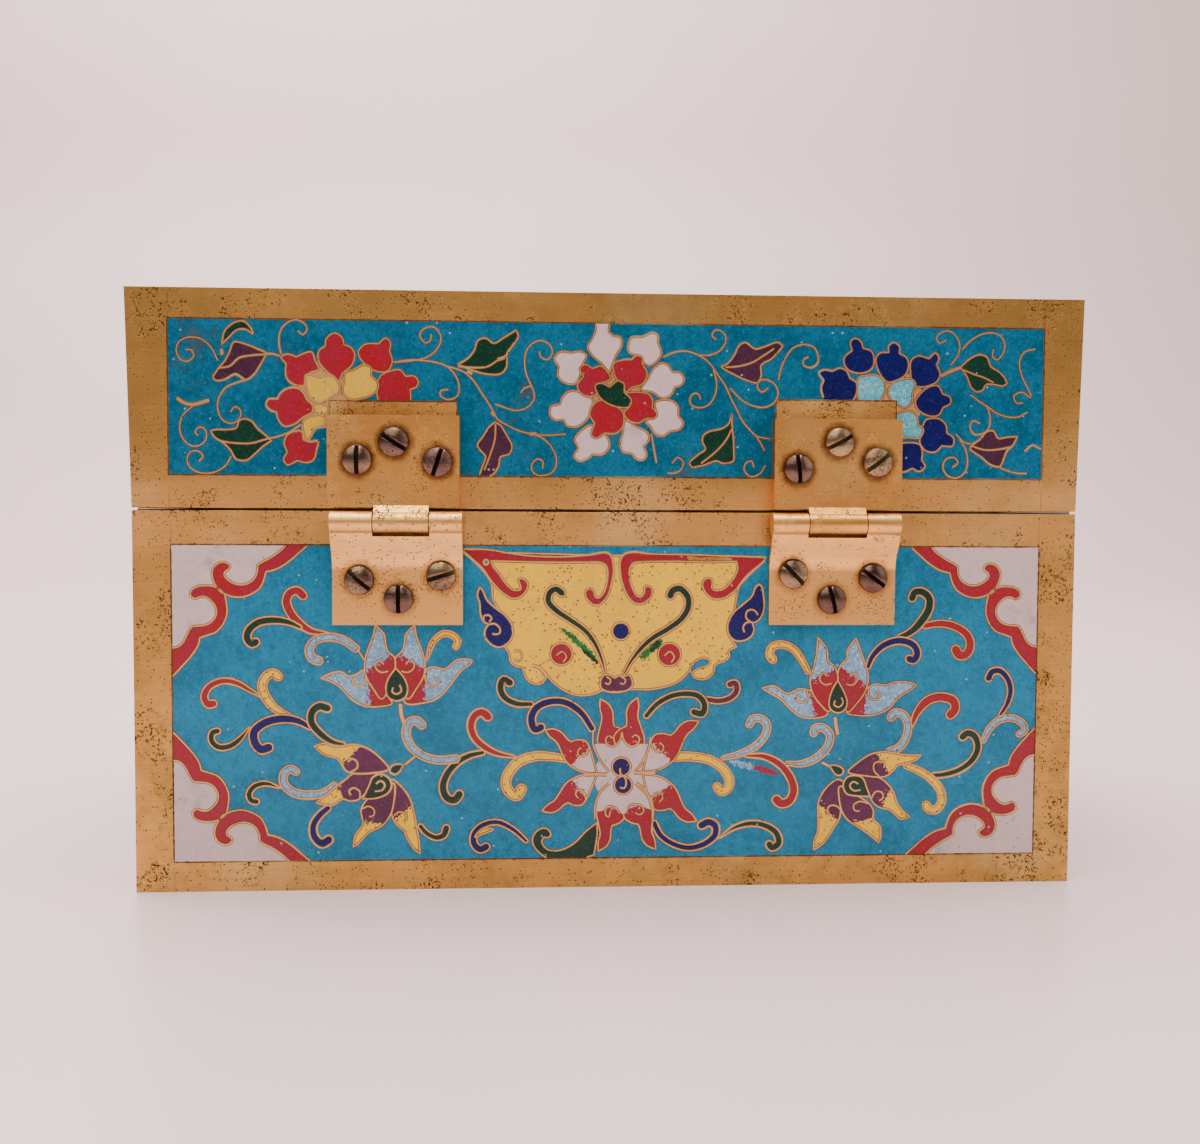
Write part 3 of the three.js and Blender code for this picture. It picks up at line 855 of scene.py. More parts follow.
def inside(spot, outline):
    hit = False
    count = len(outline)
    for i in range(count):
        a, b = outline[i], outline[i - 1]
        if (a.y > spot.y) != (b.y > spot.y):
            if spot.x < (b.x - a.x) * (spot.y - a.y) / (b.y - a.y) + a.x:
                hit = not hit
    return hit


def mark_inside(spots, outline, marks, value):
    """Writes value into marks for each of the spots, an array, that the outline goes round."""
    ring = np.array([tuple(p) for p in outline])
    near = np.where((spots[:, 0] > ring[:, 0].min()) & (spots[:, 0] < ring[:, 0].max())
                    & (spots[:, 1] > ring[:, 1].min()) & (spots[:, 1] < ring[:, 1].max()))[0]
    if not len(near):
        return
    x = spots[near, 0]
    y = spots[near, 1]
    hit = np.zeros(len(near), dtype=bool)
    for (ax, ay), (bx, by) in zip(ring, np.roll(ring, 1, axis=0)):
        if ay != by:
            hit ^= ((ay > y) != (by > y)) & (x < (bx - ax) * (y - ay) / (by - ay) + ax)
    marks[near[hit]] = value


def mesh_piece(name, shape, *finishes):
    """An object at the origin from a mesh built by hand."""
    mesh = bpy.data.meshes.new(name)
    shape.to_mesh(mesh)
    shape.free()
    piece = bpy.data.objects.new(name, mesh)
    bpy.context.scene.collection.objects.link(piece)
    for finish in finishes:
        mesh.materials.append(material(finish))
    return piece


def build_enamel(name, face, design):
    """A plate of enamel whose face is parted into the cells of the design."""
    spots = []
    edges = []
    for line in [design.outline] + [cell[1] for cell in design.cells]:
        first = len(spots)
        spots.extend(line)
        edges += [(i, i + 1) for i in range(first, len(spots) - 1)] + [(len(spots) - 1, first)]
    points, _, triangles, _, _, _ = delaunay_2d_cdt(spots, edges, [], 0, 1e-4)
    middles = np.array([tuple(sum((points[i] for i in triangle), Vector((0, 0))) / 3)
                        for triangle in triangles])
    marks = np.full(len(triangles), -1)
    mark_inside(middles, design.outline, marks, 0)
    within = marks == 0
    for index, cell in enumerate(design.cells):
        mark_inside(middles, cell[1], marks, index + 1)
    glazes = [design.ground] + [cell[0] for cell in design.cells]
    names = sorted(set(glazes))
    shape = bmesh.new()
    corners = [shape.verts.new(face.place(p.x, p.y, 0)) for p in points]
    for triangle, mark, kept in zip(triangles, marks, within):
        if kept:
            made = shape.faces.new([corners[i] for i in triangle])
            made.material_index = names.index(glazes[mark])
    loose = [vertex for vertex in shape.verts if not vertex.link_faces]
    bmesh.ops.delete(shape, geom=loose, context="VERTS")
    rim = [edge for edge in shape.edges if edge.is_boundary]
    outward = face.place(0, 80, 1) - face.place(0, 80, 0)
    shape.normal_update()
    if shape.faces[:][0].normal.dot(outward) < 0:
        bmesh.ops.reverse_faces(shape, faces=shape.faces[:])
    skirt = bmesh.ops.extrude_edge_only(shape, edges=rim)["geom"]
    low = [item for item in skirt if isinstance(item, bmesh.types.BMVert)]
    for vertex in low:
        vertex.co -= outward.normalized() * (INLAY - 0.1) * MM
    bmesh.ops.holes_fill(shape, edges=[edge for edge in shape.edges if edge.is_boundary])
    bmesh.ops.recalc_face_normals(shape, faces=shape.faces[:])
    return mesh_piece(name, shape, *names)


HIDDEN_BY = 0.1  # how far inside a later cell a wire has to lie to be left out
WIRE_STEP = 0.0011  # added to the rise of each next wire, so that where wires meet one lies on top
WIRE_STEPS = 13
WIRE_FOOT = -0.006  # height of a wire's lower edges, a little below the enamel
BORDER_RISE = 0.012
BORDER_HALF = 0.11  # half the mean width of the dirt line round a window
BORDER_RAGGED = 0.10
BORDER_EDGE = 0.02
RAGGED_SCALE = 1.3


def covered(line, design, first):
    """Whether each point of a wire lies well inside a wired cell that is laid after it."""
    spots = np.array([tuple(p) for p in line])
    hidden = np.zeros(len(line), dtype=bool)
    for _, ring, wired in design.cells[first:]:
        if wired:
            marks = np.ones((4, len(line)), dtype=int)
            for row, nudge in zip(marks, ((HIDDEN_BY, 0), (-HIDDEN_BY, 0),
                                          (0, HIDDEN_BY), (0, -HIDDEN_BY))):
                mark_inside(spots + nudge, ring, row, 0)
            hidden |= marks.sum(axis=0) == 0
    return hidden


def runs_inside(line, closed, outline, hidden):
    """The stretches of a line that lie bare in the window, and whether each is a closed ring."""
    kept = [inside(spot, outline) and not under for spot, under in zip(line, hidden)]
    if all(kept):
        return [(line, closed)]
    count = len(line)
    start = kept.index(False)
    order = [(start + i) % count for i in range(count)] if closed else range(count)
    runs = []
    run = []
    for i in order:
        if kept[i]:
            run.append(line[i])
        elif run:
            runs.append(run)
            run = []
    if run:
        runs.append(run)
    return [(run, False) for run in runs if len(run) > 1]


def build_wires(name, face, design):
    """Flat wires on edge along the cells, each with a dark line of dirt on both sides."""
    half = sizes().wire_width / MM / 2
    edge = sizes().wire_edge / MM
    shape = bmesh.new()
    for index, (line, closed, width, first) in enumerate(design.wires):
        rise = sizes().wire_rise / MM + WIRE_STEP * (index % WIRE_STEPS)
        hidden = covered(line, design, first)
        for run, ring in runs_inside(line, closed, design.outline, hidden):
            lay_wire(shape, face, run, ring, half * width, edge, rise)
    border = flowing([tuple(p) + (1,) for p in design.outline], True, 0.5)
    lay_wire(shape, face, border, True, 0.0, 0.0, BORDER_RISE, True)
    bmesh.ops.recalc_face_normals(shape, faces=shape.faces[:])
    return mesh_piece(name, shape, "dull_wire" if "lid" in name else "wire_brass", "wire_edge")


def lay_wire(shape, face, run, ring, half, edge, rise, dirt=False):
    """One wire, or a ragged line of dirt, as a low strip with sloping sides."""
    count = len(run)
    rows = []
    for i, spot in enumerate(run):
        ahead = run[(i + 1) % count] if ring or i < count - 1 else spot
        behind = run[i - 1] if ring or i > 0 else spot
        way = ahead - behind
        if way.length < 1e-6:
            continue
        side = Vector((-way.y, way.x)).normalized()
        if dirt:
            half = BORDER_HALF + BORDER_RAGGED * noise.noise(
                Vector((spot.x, spot.y, 0)) * RAGGED_SCALE)
            edge = BORDER_EDGE
        row = []
        for reach, lift in ((-half - edge, WIRE_FOOT), (-half, rise), (half, rise),
                            (half + edge, WIRE_FOOT)):
            at_side = spot + side * reach
            row.append(shape.verts.new(face.place(at_side.x, at_side.y, lift)))
        rows.append(row)
    if len(rows) < 2:
        return
    pairs = list(zip(rows, rows[1:]))
    if ring:
        pairs.append((rows[-1], rows[0]))
    for one, other in pairs:
        for k, finish in ((0, 1), (1, 0), (2, 1), (3, 1)):
            made = shape.faces.new((one[k], one[(k + 1) % 4], other[(k + 1) % 4], other[k]))
            made.material_index = 1 if dirt else finish
    if not ring:
        for row in (rows[0], rows[-1]):
            made = shape.faces.new(row)
            made.material_index = 1


# ---- drawing --------------------------------------------------------------------------------
SHARP = None  # in a path, makes the point before it a corner


def path(*numbers):
    """Points from numbers across and up in turn."""
    points = []
    across = None
    for number in numbers:
        if number is SHARP:
            points[-1] = points[-1][:2] + (1,)
        elif across is None:
            across = number
        else:
            points.append((across, number))
            across = None
    return points


SWELL = 0.45  # share of a shoot's length over which it swells from its foot
BLUNT_FOOT = 0.5  # a foot wider than this ends in a short point
CAP_STEPS = 6


def tendril(design, glaze, widths, spine):
    """A curling shoot: a line thickened on both sides, round at its head, narrow at its foot."""
    line = flowing(spine, False, 0.4)
    reach = [0.0]
    for a, b in zip(line, line[1:]):
        reach.append(reach[-1] + (b - a).length)
    total = reach[-1]
    foot, middle, head = widths
    left = []
    right = []
    for i, spot in enumerate(line):
        way = (line[min(i + 1, len(line) - 1)] - line[max(i - 1, 0)]).normalized()
        side = Vector((-way.y, way.x))
        t = reach[i] / total
        if t < SWELL:
            wide = foot + (middle - foot) * math.sin(t / SWELL * math.pi / 2)
        else:
            wide = middle + (head - middle) * (t - SWELL) / (1 - SWELL)
        left.append(spot + side * wide / 2)
        right.append(spot - side * wide / 2)
    way = (line[-1] - line[-2]).normalized()
    side = Vector((-way.y, way.x))
    cap = []
    for k in range(1, CAP_STEPS):
        turn = math.pi * k / CAP_STEPS
        cap.append(line[-1] + side * (math.cos(turn) * head / 2) + way * (math.sin(turn) * head / 2))
    lead = (line[0] - line[1]).normalized()
    cap_foot = [line[0] + (lead * foot * 0.35 if foot > BLUNT_FOOT else lead * 0.6)]
    design.cell(glaze, None, closed_line=left + cap + right[::-1] + cap_foot)


def disc(design, glaze, x, y, radius, wired=True):
    ring = [(x + radius * math.cos(k * math.pi / 8), y + radius * math.sin(k * math.pi / 8))
            for k in range(16)]
    design.cell(glaze, ring, wired)


def foot_of(line, middle, reach):
    """The part of a petal's outline near the middle of its flower, for its second colour."""
    return [spot for i, spot in enumerate(line)
            if (spot - middle).length < reach * (1 + 0.05 * math.sin(i * 2.4))]


def patch(spot, radius, chance, least):
    """A small uneven ring of six points."""
    return [spot + Vector((math.cos(i), math.sin(i))) * radius * chance(least, 1.3)
            for i in range(6)]


def ragged_cell(design, glaze, other, near, outline):
    """A second colour laid against the first without a wire, the two mixed along their edge."""
    design.dice.seed(len(design.cells))
    chance = design.dice.uniform
    start, end = near[-1], near[0]
    along = end - start
    across = Vector((-along.y, along.x)).normalized()
    count = max(3, int(along.length / 0.2))
    edge = [start + along * ((k + chance(-0.3, 0.3)) / count) + across * chance(-0.22, 0.22)
            for k in range(1, count)]
    design.cell(glaze, None, False, near + edge)
    for k in range(int(along.length * 4)):
        away = chance(-0.9, 0.9)
        spot = start + along * chance(0.03, 0.97) + across * away
        radius = chance(0.07, 0.2) * (1.2 - abs(away))
        if inside(spot, outline):
            design.cell(other if inside(spot, near) else glaze, None, False,
                        patch(spot, radius, chance, 0.6))


def smear(design, glaze, start, end, spread, count):
    """A stray streak of colour between two spots, made of small uneven patches."""
    design.dice.seed(count)
    chance = design.dice.uniform
    along = Vector(end) - Vector(start)
    across = Vector((-along.y, along.x)).normalized()
    for k in range(count):
        share = k / count + chance(-0.1, 0.1)
        away = chance(-1, 1) * chance(0, 1)
        spot = Vector(start) + along * share + across * away * spread
        radius = chance(0.16, 0.42) * (1.1 - abs(away)) * (0.5 + 0.5 * math.sin(share * 3))
        design.cell(glaze, None, False, patch(spot, radius, chance, 0.7))


def petal(design, tip, one_side, other_side, glaze, foot_glaze, middle, reach, curl=None):
    """A petal of two colours: its sides run from its tip down to its foot."""
    points = [tuple(tip) + (1,)] + one_side + other_side[::-1]
    line = flowing(points, True)
    design.cell(glaze, None, closed_line=line)
    near = foot_of(line, Vector(middle), reach)
    if len(near) > 2:
        ragged_cell(design, foot_glaze, glaze, near, line)
    if curl:
        design.wire(curl)


LOTUS_WIDTH = 1.12  # widens the petals of the middle lotus
WHITE_SHARE = 0.42  # of a petal's length that is white


def lotus_petal(design, foot, tip, lobe_up, curled):
    """A long petal with one lobed side and a curl in the lobe, red at its tip, white below."""
    start = Vector(foot)
    along = Vector(tip) - start
    across = Vector((-along.y, along.x)) * lobe_up

    def spots(numbers):
        return [tuple(start + along * p[0] + across * p[1] * LOTUS_WIDTH) + tuple(p[2:])
                for p in path(*numbers)]

    outline = spots((1, 0, SHARP, .907, .086, .79, .115, .664, .098, .60, .10, SHARP, .54, .18,
                     .445, .232, .343, .205, .168, .11, 0, 0, SHARP, .178, -.107, .346, -.141,
                     .478, -.13, .614, -.077, .75, -.025, .883, -.025))
    line = flowing(outline, True)
    design.cell("red", None, closed_line=line)
    near = foot_of(line, start, along.length * WHITE_SHARE)
    ragged_cell(design, "white", "red", near, line)
    if curled:
        design.wire(spots((.343, .205, .312, .111, .332, .049, .396, .034, .435, .076, .427, .128)))


SPANDREL_EDGE = path(21.6, -.4, 21.4, 0, 20.2, 1.1, 18.5, 2.6, 17, 3.6, 15.8, 4.1, 14.8, 4.3, SHARP,
    14.5, 5.5, 13.8, 6.9, 12.4, 7.9, 10.8, 8.35, 9.3, 8.2, 8.3, 7.8, SHARP, 8.6, 9.3, 8.65, 11, 8, 12.7,
    6.9, 13.9, 5.6, 14.4, 4.4, 14.8, SHARP, 4.1, 16, 3, 17.7, 1.6, 19.3, .4, 20.6, -.4, 21.4)
SPANDREL_FIELD = path(18.5, -.4, 18.1, 0, 17.2, .9, 15.5, 2.1, 14, 2.9, 13.5, 3.3, SHARP, 13.4, 4.5,
    12.8, 5.6, 11.6, 6.3, 10.2, 6.3, 9, 5.7, 8.3, 4.9, 8.4, 4.3, 9, 3.9, 9.2, 3.5, 8.7, 2.9, 7.8, 2.8,
    6.9, 3.3, 6.4, 4.3, 6.5, 5.5, 7, 6.6, 7.7, 7.5, 8.3, 7.8, SHARP, 7.5, 7.1, 6.5, 6.6, 5.2, 6.5, 4, 6.7,
    3.1, 7.3, 3, 8.1, 3.7, 8.6, 4.4, 8.3, 5.3, 8.3, 6.2, 8.9, 6.9, 9.9, 7, 11, 6.5, 12, 5.5, 12.7,
    4.2, 12.9, 3.2, 13, SHARP, 2.8, 13.5, 2.4, 14.3, 1.7, 15.6, .8, 16.3, -.4, 16.4)


def spandrels(design, wide, foot, top, scale=1.0):
    """White corner fields inside red cloud borders, the same in all four corners."""
    for side in (-1, 1):
        for edge, way in ((foot, 1), (top, -1)):
            for glaze, drawn in (("red", SPANDREL_EDGE), ("white", SPANDREL_FIELD)):
                line = flowing(drawn, False)
                spots = [Vector((side * (wide - p.x * scale), edge + way * p.y * scale))
                         for p in line]
                corner = Vector((side * (wide + 1), edge - way))
                design.cells.append((glaze, spots + [corner], True))
                design.wires.append((spots, False, 1.0, len(design.cells)))


LEFT_TENDRILS = (
    ("red", (.3, 1.3, 1.3), path(-45.6, 41.5, -48.2, 41.9, -50.2, 43.3, -51.5, 45, -52, 46.6, -51.5, 47.9,
        -50.3, 48.3, -49.4, 47.5)),
    ("green", (.6, 1.2, 1.3), path(-49.8, 42.4, -51.5, 43.2, -54, 43.6, -56.5, 43.2, -58, 41.9,
        -58.2, 40.6, -57.4, 39.8, -56.9, 40.1)),
    ("sky", (1.1, 1.2, 1.3), path(-40.9, 38.9, -43, 40.4, -45.5, 40.9, -47.6, 40.3, -48.5, 38.8,
        -48, 37.5, -47, 37.1)),
    ("red", (.2, .9, 1.2), path(-56, 31.3, -58, 32.5, -60, 33.6, -62.2, 33.9, -64.3, 32.9, -65, 31.3,
        -64.3, 30.1, -63.6, 30.3)),
    ("yellow", (.5, 1.4, 1.4), path(-51.5, 28.3, -53.8, 29.4, -55.3, 31.2, -55.9, 33.2, -55.2, 34.7,
        -54, 35.1, -53.4, 34.6)),
    ("green", (.3, 1, 1), path(-58.2, 26.2, -59.5, 24.6, -61, 23.5, -62.8, 23.3, -63.9, 24.3, -63.8, 25.6,
        -63, 25.9)),
    ("blue", (.8, 1.4, 1.5), path(-48.2, 26.3, -50.5, 27.5, -53, 27.8, -55.5, 27.2, -57.2, 25.8,
        -57.2, 24.2, -56.2, 22.9, -55, 23.2)),
    ("green", (.6, 1.2, 1.4), path(-43, 23.6, -45, 24.1, -47, 25.6, -48.2, 27.3, -48, 29, -46.9, 29.8,
        -45.7, 29.5)),
    ("green", (.3, .9, 1), path(-53.5, 16.8, -55.5, 17.4, -57.2, 17, -58.1, 15.8, -57.8, 14.7,
        -57, 14.5)),
    ("sky", (.8, 1.3, 1.2), path(-44.5, 17.2, -46.5, 15.8, -49, 15.5, -51.2, 16, -52.6, 17.4, -52.6, 18.9,
        -51.6, 19.7, -50.7, 19.3)),
    ("blue", (1, 1.2, 1.5), path(-45.5, 13.5, -47, 12.2, -48, 10.5, -47.8, 8.7, -46.6, 7.6, -45.6, 8.2)),
    ("red", (.4, 1.1, 1.4), path(-16, 21.5, -18.5, 22, -20.5, 23, -22.2, 24.6, -22.8, 26.6, -22.2, 28.2,
        -21, 28.7, -20.1, 28)),
    ("green", (.8, 1.2, 1.4), path(-20.8, 22.2, -23, 21.7, -25, 20.6, -26.7, 18.6, -27.3, 16.5,
        -26.6, 14.8, -25.4, 14.5, -24.7, 15.4)),
    ("sky", (1.2, 1.2, 1.3), path(-25, 21.2, -27.8, 21, -30.5, 21.7, -32.5, 23.4, -33.2, 25.6,
        -32.6, 27.2, -31.4, 27.4, -30.7, 26.7)),
    ("yellow", (1, 1.5, 1.6), path(-7, 20.9, -9.5, 21.4, -12.5, 21.5, -15, 20.7, -16.7, 18.9, -17.2, 17.2,
        -16.5, 15.6, -15.4, 15.1, -14.7, 16.2)),
    ("green", (.8, 1.1, 1.3), path(-13, 30, -15.5, 30.1, -17.5, 31.2, -18.1, 32.8, -17.6, 34,
        -16.6, 33.5)),
    ("blue", (1, 1.2, 1.4), path(-3.2, 25.8, -5, 28.5, -7.5, 30.2, -10, 30.4, -12.3, 29.4, -13.1, 27.6,
        -12.5, 25.9, -11.6, 26.2)),
    ("blue", (.6, .9, 1.3), path(-13.8, 7.6, -16, 9.6, -18.5, 10.8, -20.8, 10.4, -22.3, 8.9, -22.3, 7.3,
        -21.3, 6.4, -20.4, 6.8)),
    ("yellow", (.3, .9, 1), path(-29.8, 37.5, -28.9, 40, -27.3, 41.4, -25.8, 41.2, -24.9, 40.2,
        -25.2, 39.4)),
    ("green", (.8, .9, 1.2), path(-31, 10.4, -30, 9.2, -28.4, 8.4, -27.2, 8.8, -26.8, 9.9)),
)
RIGHT_TENDRILS = (
    ("red", (.9, 1.2, 1.5), path(51, 42.6, 53.5, 43, 56, 42.6, 58.2, 41.2, 58.8, 39.5, 58.2, 38, 57, 37.8,
        56.4, 38.7)),
    ("green", (.8, 1.4, 1.3), path(46.8, 40.7, 48.8, 41.6, 50.6, 43.4, 51.8, 45.5, 51.8, 47.2, 50.6, 48.2,
        49.4, 48.1, 49, 47.2)),
    ("blue", (.8, 1.2, 1.3), path(41.8, 35.8, 42.6, 37.7, 44.5, 39.5, 47, 40.2, 49.3, 39.5, 50, 38.1,
        49.4, 37, 48.7, 37.2)),
    ("sky", (.8, 1.1, 1), path(61.2, 23.5, 62.5, 25.9, 64.2, 27.2, 66.4, 27.3, 68, 26.3, 68.2, 25.2,
        67.3, 24.7)),
    ("blue", (.6, 1, 1.2), path(64, 27.8, 65.2, 29.8, 65.7, 32, 65.1, 34, 63.8, 35.2, 62.5, 35, 62, 34)),
    ("red", (.5, 1.4, 1.5), path(49.2, 26, 50.2, 28.5, 52, 30.4, 54.2, 30.9, 56.2, 30.2, 56.4, 28.8,
        55.7, 28)),
    ("sky", (1.3, 1.2, 1.3), path(45.3, 21.8, 47.2, 22.6, 48.4, 24.4, 48.6, 26.6, 47.7, 28.1, 46.4, 28.3,
        45.8, 27.6)),
    ("green", (.9, 1.1, 1.3), path(52.8, 17.9, 55, 18.1, 57.5, 18.9, 59.6, 20.6, 60.4, 22.6, 59.8, 24.4,
        58.6, 24.9, 57.8, 24.3)),
    ("yellow", (.9, 1.2, 1.3), path(48.3, 19.6, 50.4, 18.8, 52.6, 17.4, 54.2, 15.5, 54.5, 13.6,
        53.5, 12.2, 52.2, 12.4, 51.9, 13)),
    ("yellow", (.8, 1.1, 1.3), path(32, 35, 30.8, 37.2, 29.4, 38.9, 27.6, 39.6, 26, 39.2, 25.6, 37.9,
        26.1, 37.2)),
    ("purple", (.9, 1, 1.1), path(15.2, 30.7, 17.3, 30.4, 19.2, 30.9, 20.2, 32, 20, 33.3, 19.1, 33.1)),
    ("green", (.9, 1, 1.2), path(5.4, 27.9, 7.2, 29.9, 9.5, 31.2, 12, 31.6, 14, 31.2, 15, 29.8,
        14.6, 28.3, 13.3, 28.6)),
    ("yellow", (1.5, 1.4, 1.4), path(10, 21.3, 13, 21.3, 16, 20.7, 18.2, 19.2, 19.2, 17.2, 18.8, 15.9,
        17.8, 15.6, 17.2, 16.3)),
    ("sky", (.6, 1.1, 1.2), path(18, 21, 20.5, 21.6, 23, 22.7, 24.9, 24.6, 25.3, 26.5, 24.2, 27.5,
        22.9, 27.4, 22.4, 26.6)),
    ("red", (.5, 1.2, 1.5), path(21.9, 21.4, 25, 21.2, 27.6, 19.8, 29.3, 17.6, 29.8, 15.5, 29, 13.8,
        27.7, 13.5, 27, 14.1)),
    ("sky", (.6, 1.2, 1.2), path(28.5, 20.1, 31, 20, 33.4, 20.9, 35.3, 22.8, 35.7, 24.7, 34.6, 25.9,
        33.3, 25.9, 33, 25.1)),
    ("blue", (1, 1, 1.4), path(6.8, 10.6, 8, 8.4, 10.2, 6.9, 12.8, 6.3, 15.3, 7, 16.9, 8.4, 16.9, 9.9,
        15.8, 10.5, 14.7, 10)),
    ("green", (.2, 1, 1.3), path(17.8, 8, 20, 9.5, 22.5, 10.2, 25, 9.9, 27, 8.6, 27.4, 6.9, 26.3, 6.2,
        25.9, 6.7)),
)


HEART = path(1.55, 25.4, SHARP, 1.2, 24.1, .3, 23.2, -1.5, 23.5, -3.06, 23.2, -2.7, 21.9, -1.95, 20.8,
    -.47, 18.9, -.47, 17, -1.95, 15.6, -2.7, 13.6, -2.8, 12.5, -1.3, 12.6, -.5, 13.2, .4, 13.1, 1.2, 12.4,
    1.9, 11.9, 2.6, 12.7, 3.1, 13.4, 4.1, 13.5, 5.2, 13.1, 6.5, 12.7, 6.4, 13.5, 5.8, 14.9, 3.77, 17,
    3.77, 18.9, 4.7, 20.1, 5.8, 22.3, 6.1, 23.3, 4.4, 23.4, 2.8, 23.2, 1.9, 24.1)
HEART_CURLS = (
    path(1.55, 25.4, 1.3, 24.2, .45, 23.2, -.4, 23.1, -1, 23.7, -1, 24.4, -.5, 24.8, .05, 24.4),
    path(1.55, 25.4, 1.85, 24.2, 2.7, 23.2, 3.6, 23.1, 4.3, 23.7, 4.4, 24.4, 3.8, 24.9, 3.2, 24.5),
    path(1.3, 12.1, .45, 13.05, -.5, 13.2, -1, 12.7, -1, 11.8, -.5, 11.5, -.3, 12.3),
    path(2.6, 12.7, 3, 13.4, 4.1, 13.5, 5.05, 13.05, 5.15, 12.3, 4.5, 11.8, 3.8, 12.2),
    path(-3.15, 25.7, -3.06, 23.2, -1.95, 20.8, -.47, 18.9),
    path(6.2, 24.5, 5.8, 22.3, 4.7, 20.1, 3.77, 18.9),
    path(-.47, 17, -1.95, 15.6, -2.7, 13.6, -2.8, 11.2),
    path(3.77, 17, 5.8, 14.9, 6.5, 13, 6.6, 11.2))


def central_lotus(design):
    """Eight pointed petals round two dark discs, held by two brass bars."""
    disc(design, "white", 1.65, 18.2, 4.6, False)
    for foot, tip, lobe in (
            ((5, 18.8), (14.1, 27.1), 1), ((5, 18.5), (13.9, 10.7), -1),
            ((-2.5, 18.6), (-10.9, 25.8), -1), ((-2.5, 18.4), (-11.4, 12.6), 1),
            ((.5, 19), (-2, 30.8), -1), ((2.8, 19), (4.1, 31), 1),
            ((.3, 17), (-2.2, 5.9), 1), ((3.2, 17.6), (7.2, 6.1), -1)):
        lotus_petal(design, foot, tip, lobe, abs(tip[0] - 1) > 8)
    design.cell("white", HEART, False, covers=True)
    for curl in HEART_CURLS:
        design.wire(curl)
    disc(design, "blue", 1.5, 19.7, 1.5)
    disc(design, "blue", 1.8, 16.7, 1.45)
    design.wire(path(1.3, 19.5, 1.4, 18.5, 2, 18.1, 2.3, 17.2, 2, 16.2, 1.3, 16.3), 1.2)
    design.wire(path(-4.5, 18.45, -2.6, 18.5, -.8, 18.45), 2.0)
    design.wire(path(3.5, 18.7, 5.2, 18.75, 7, 18.7), 2.0)


def drop_heart(design, points, spiral):
    design.cell("green", points)
    design.wire(spiral)


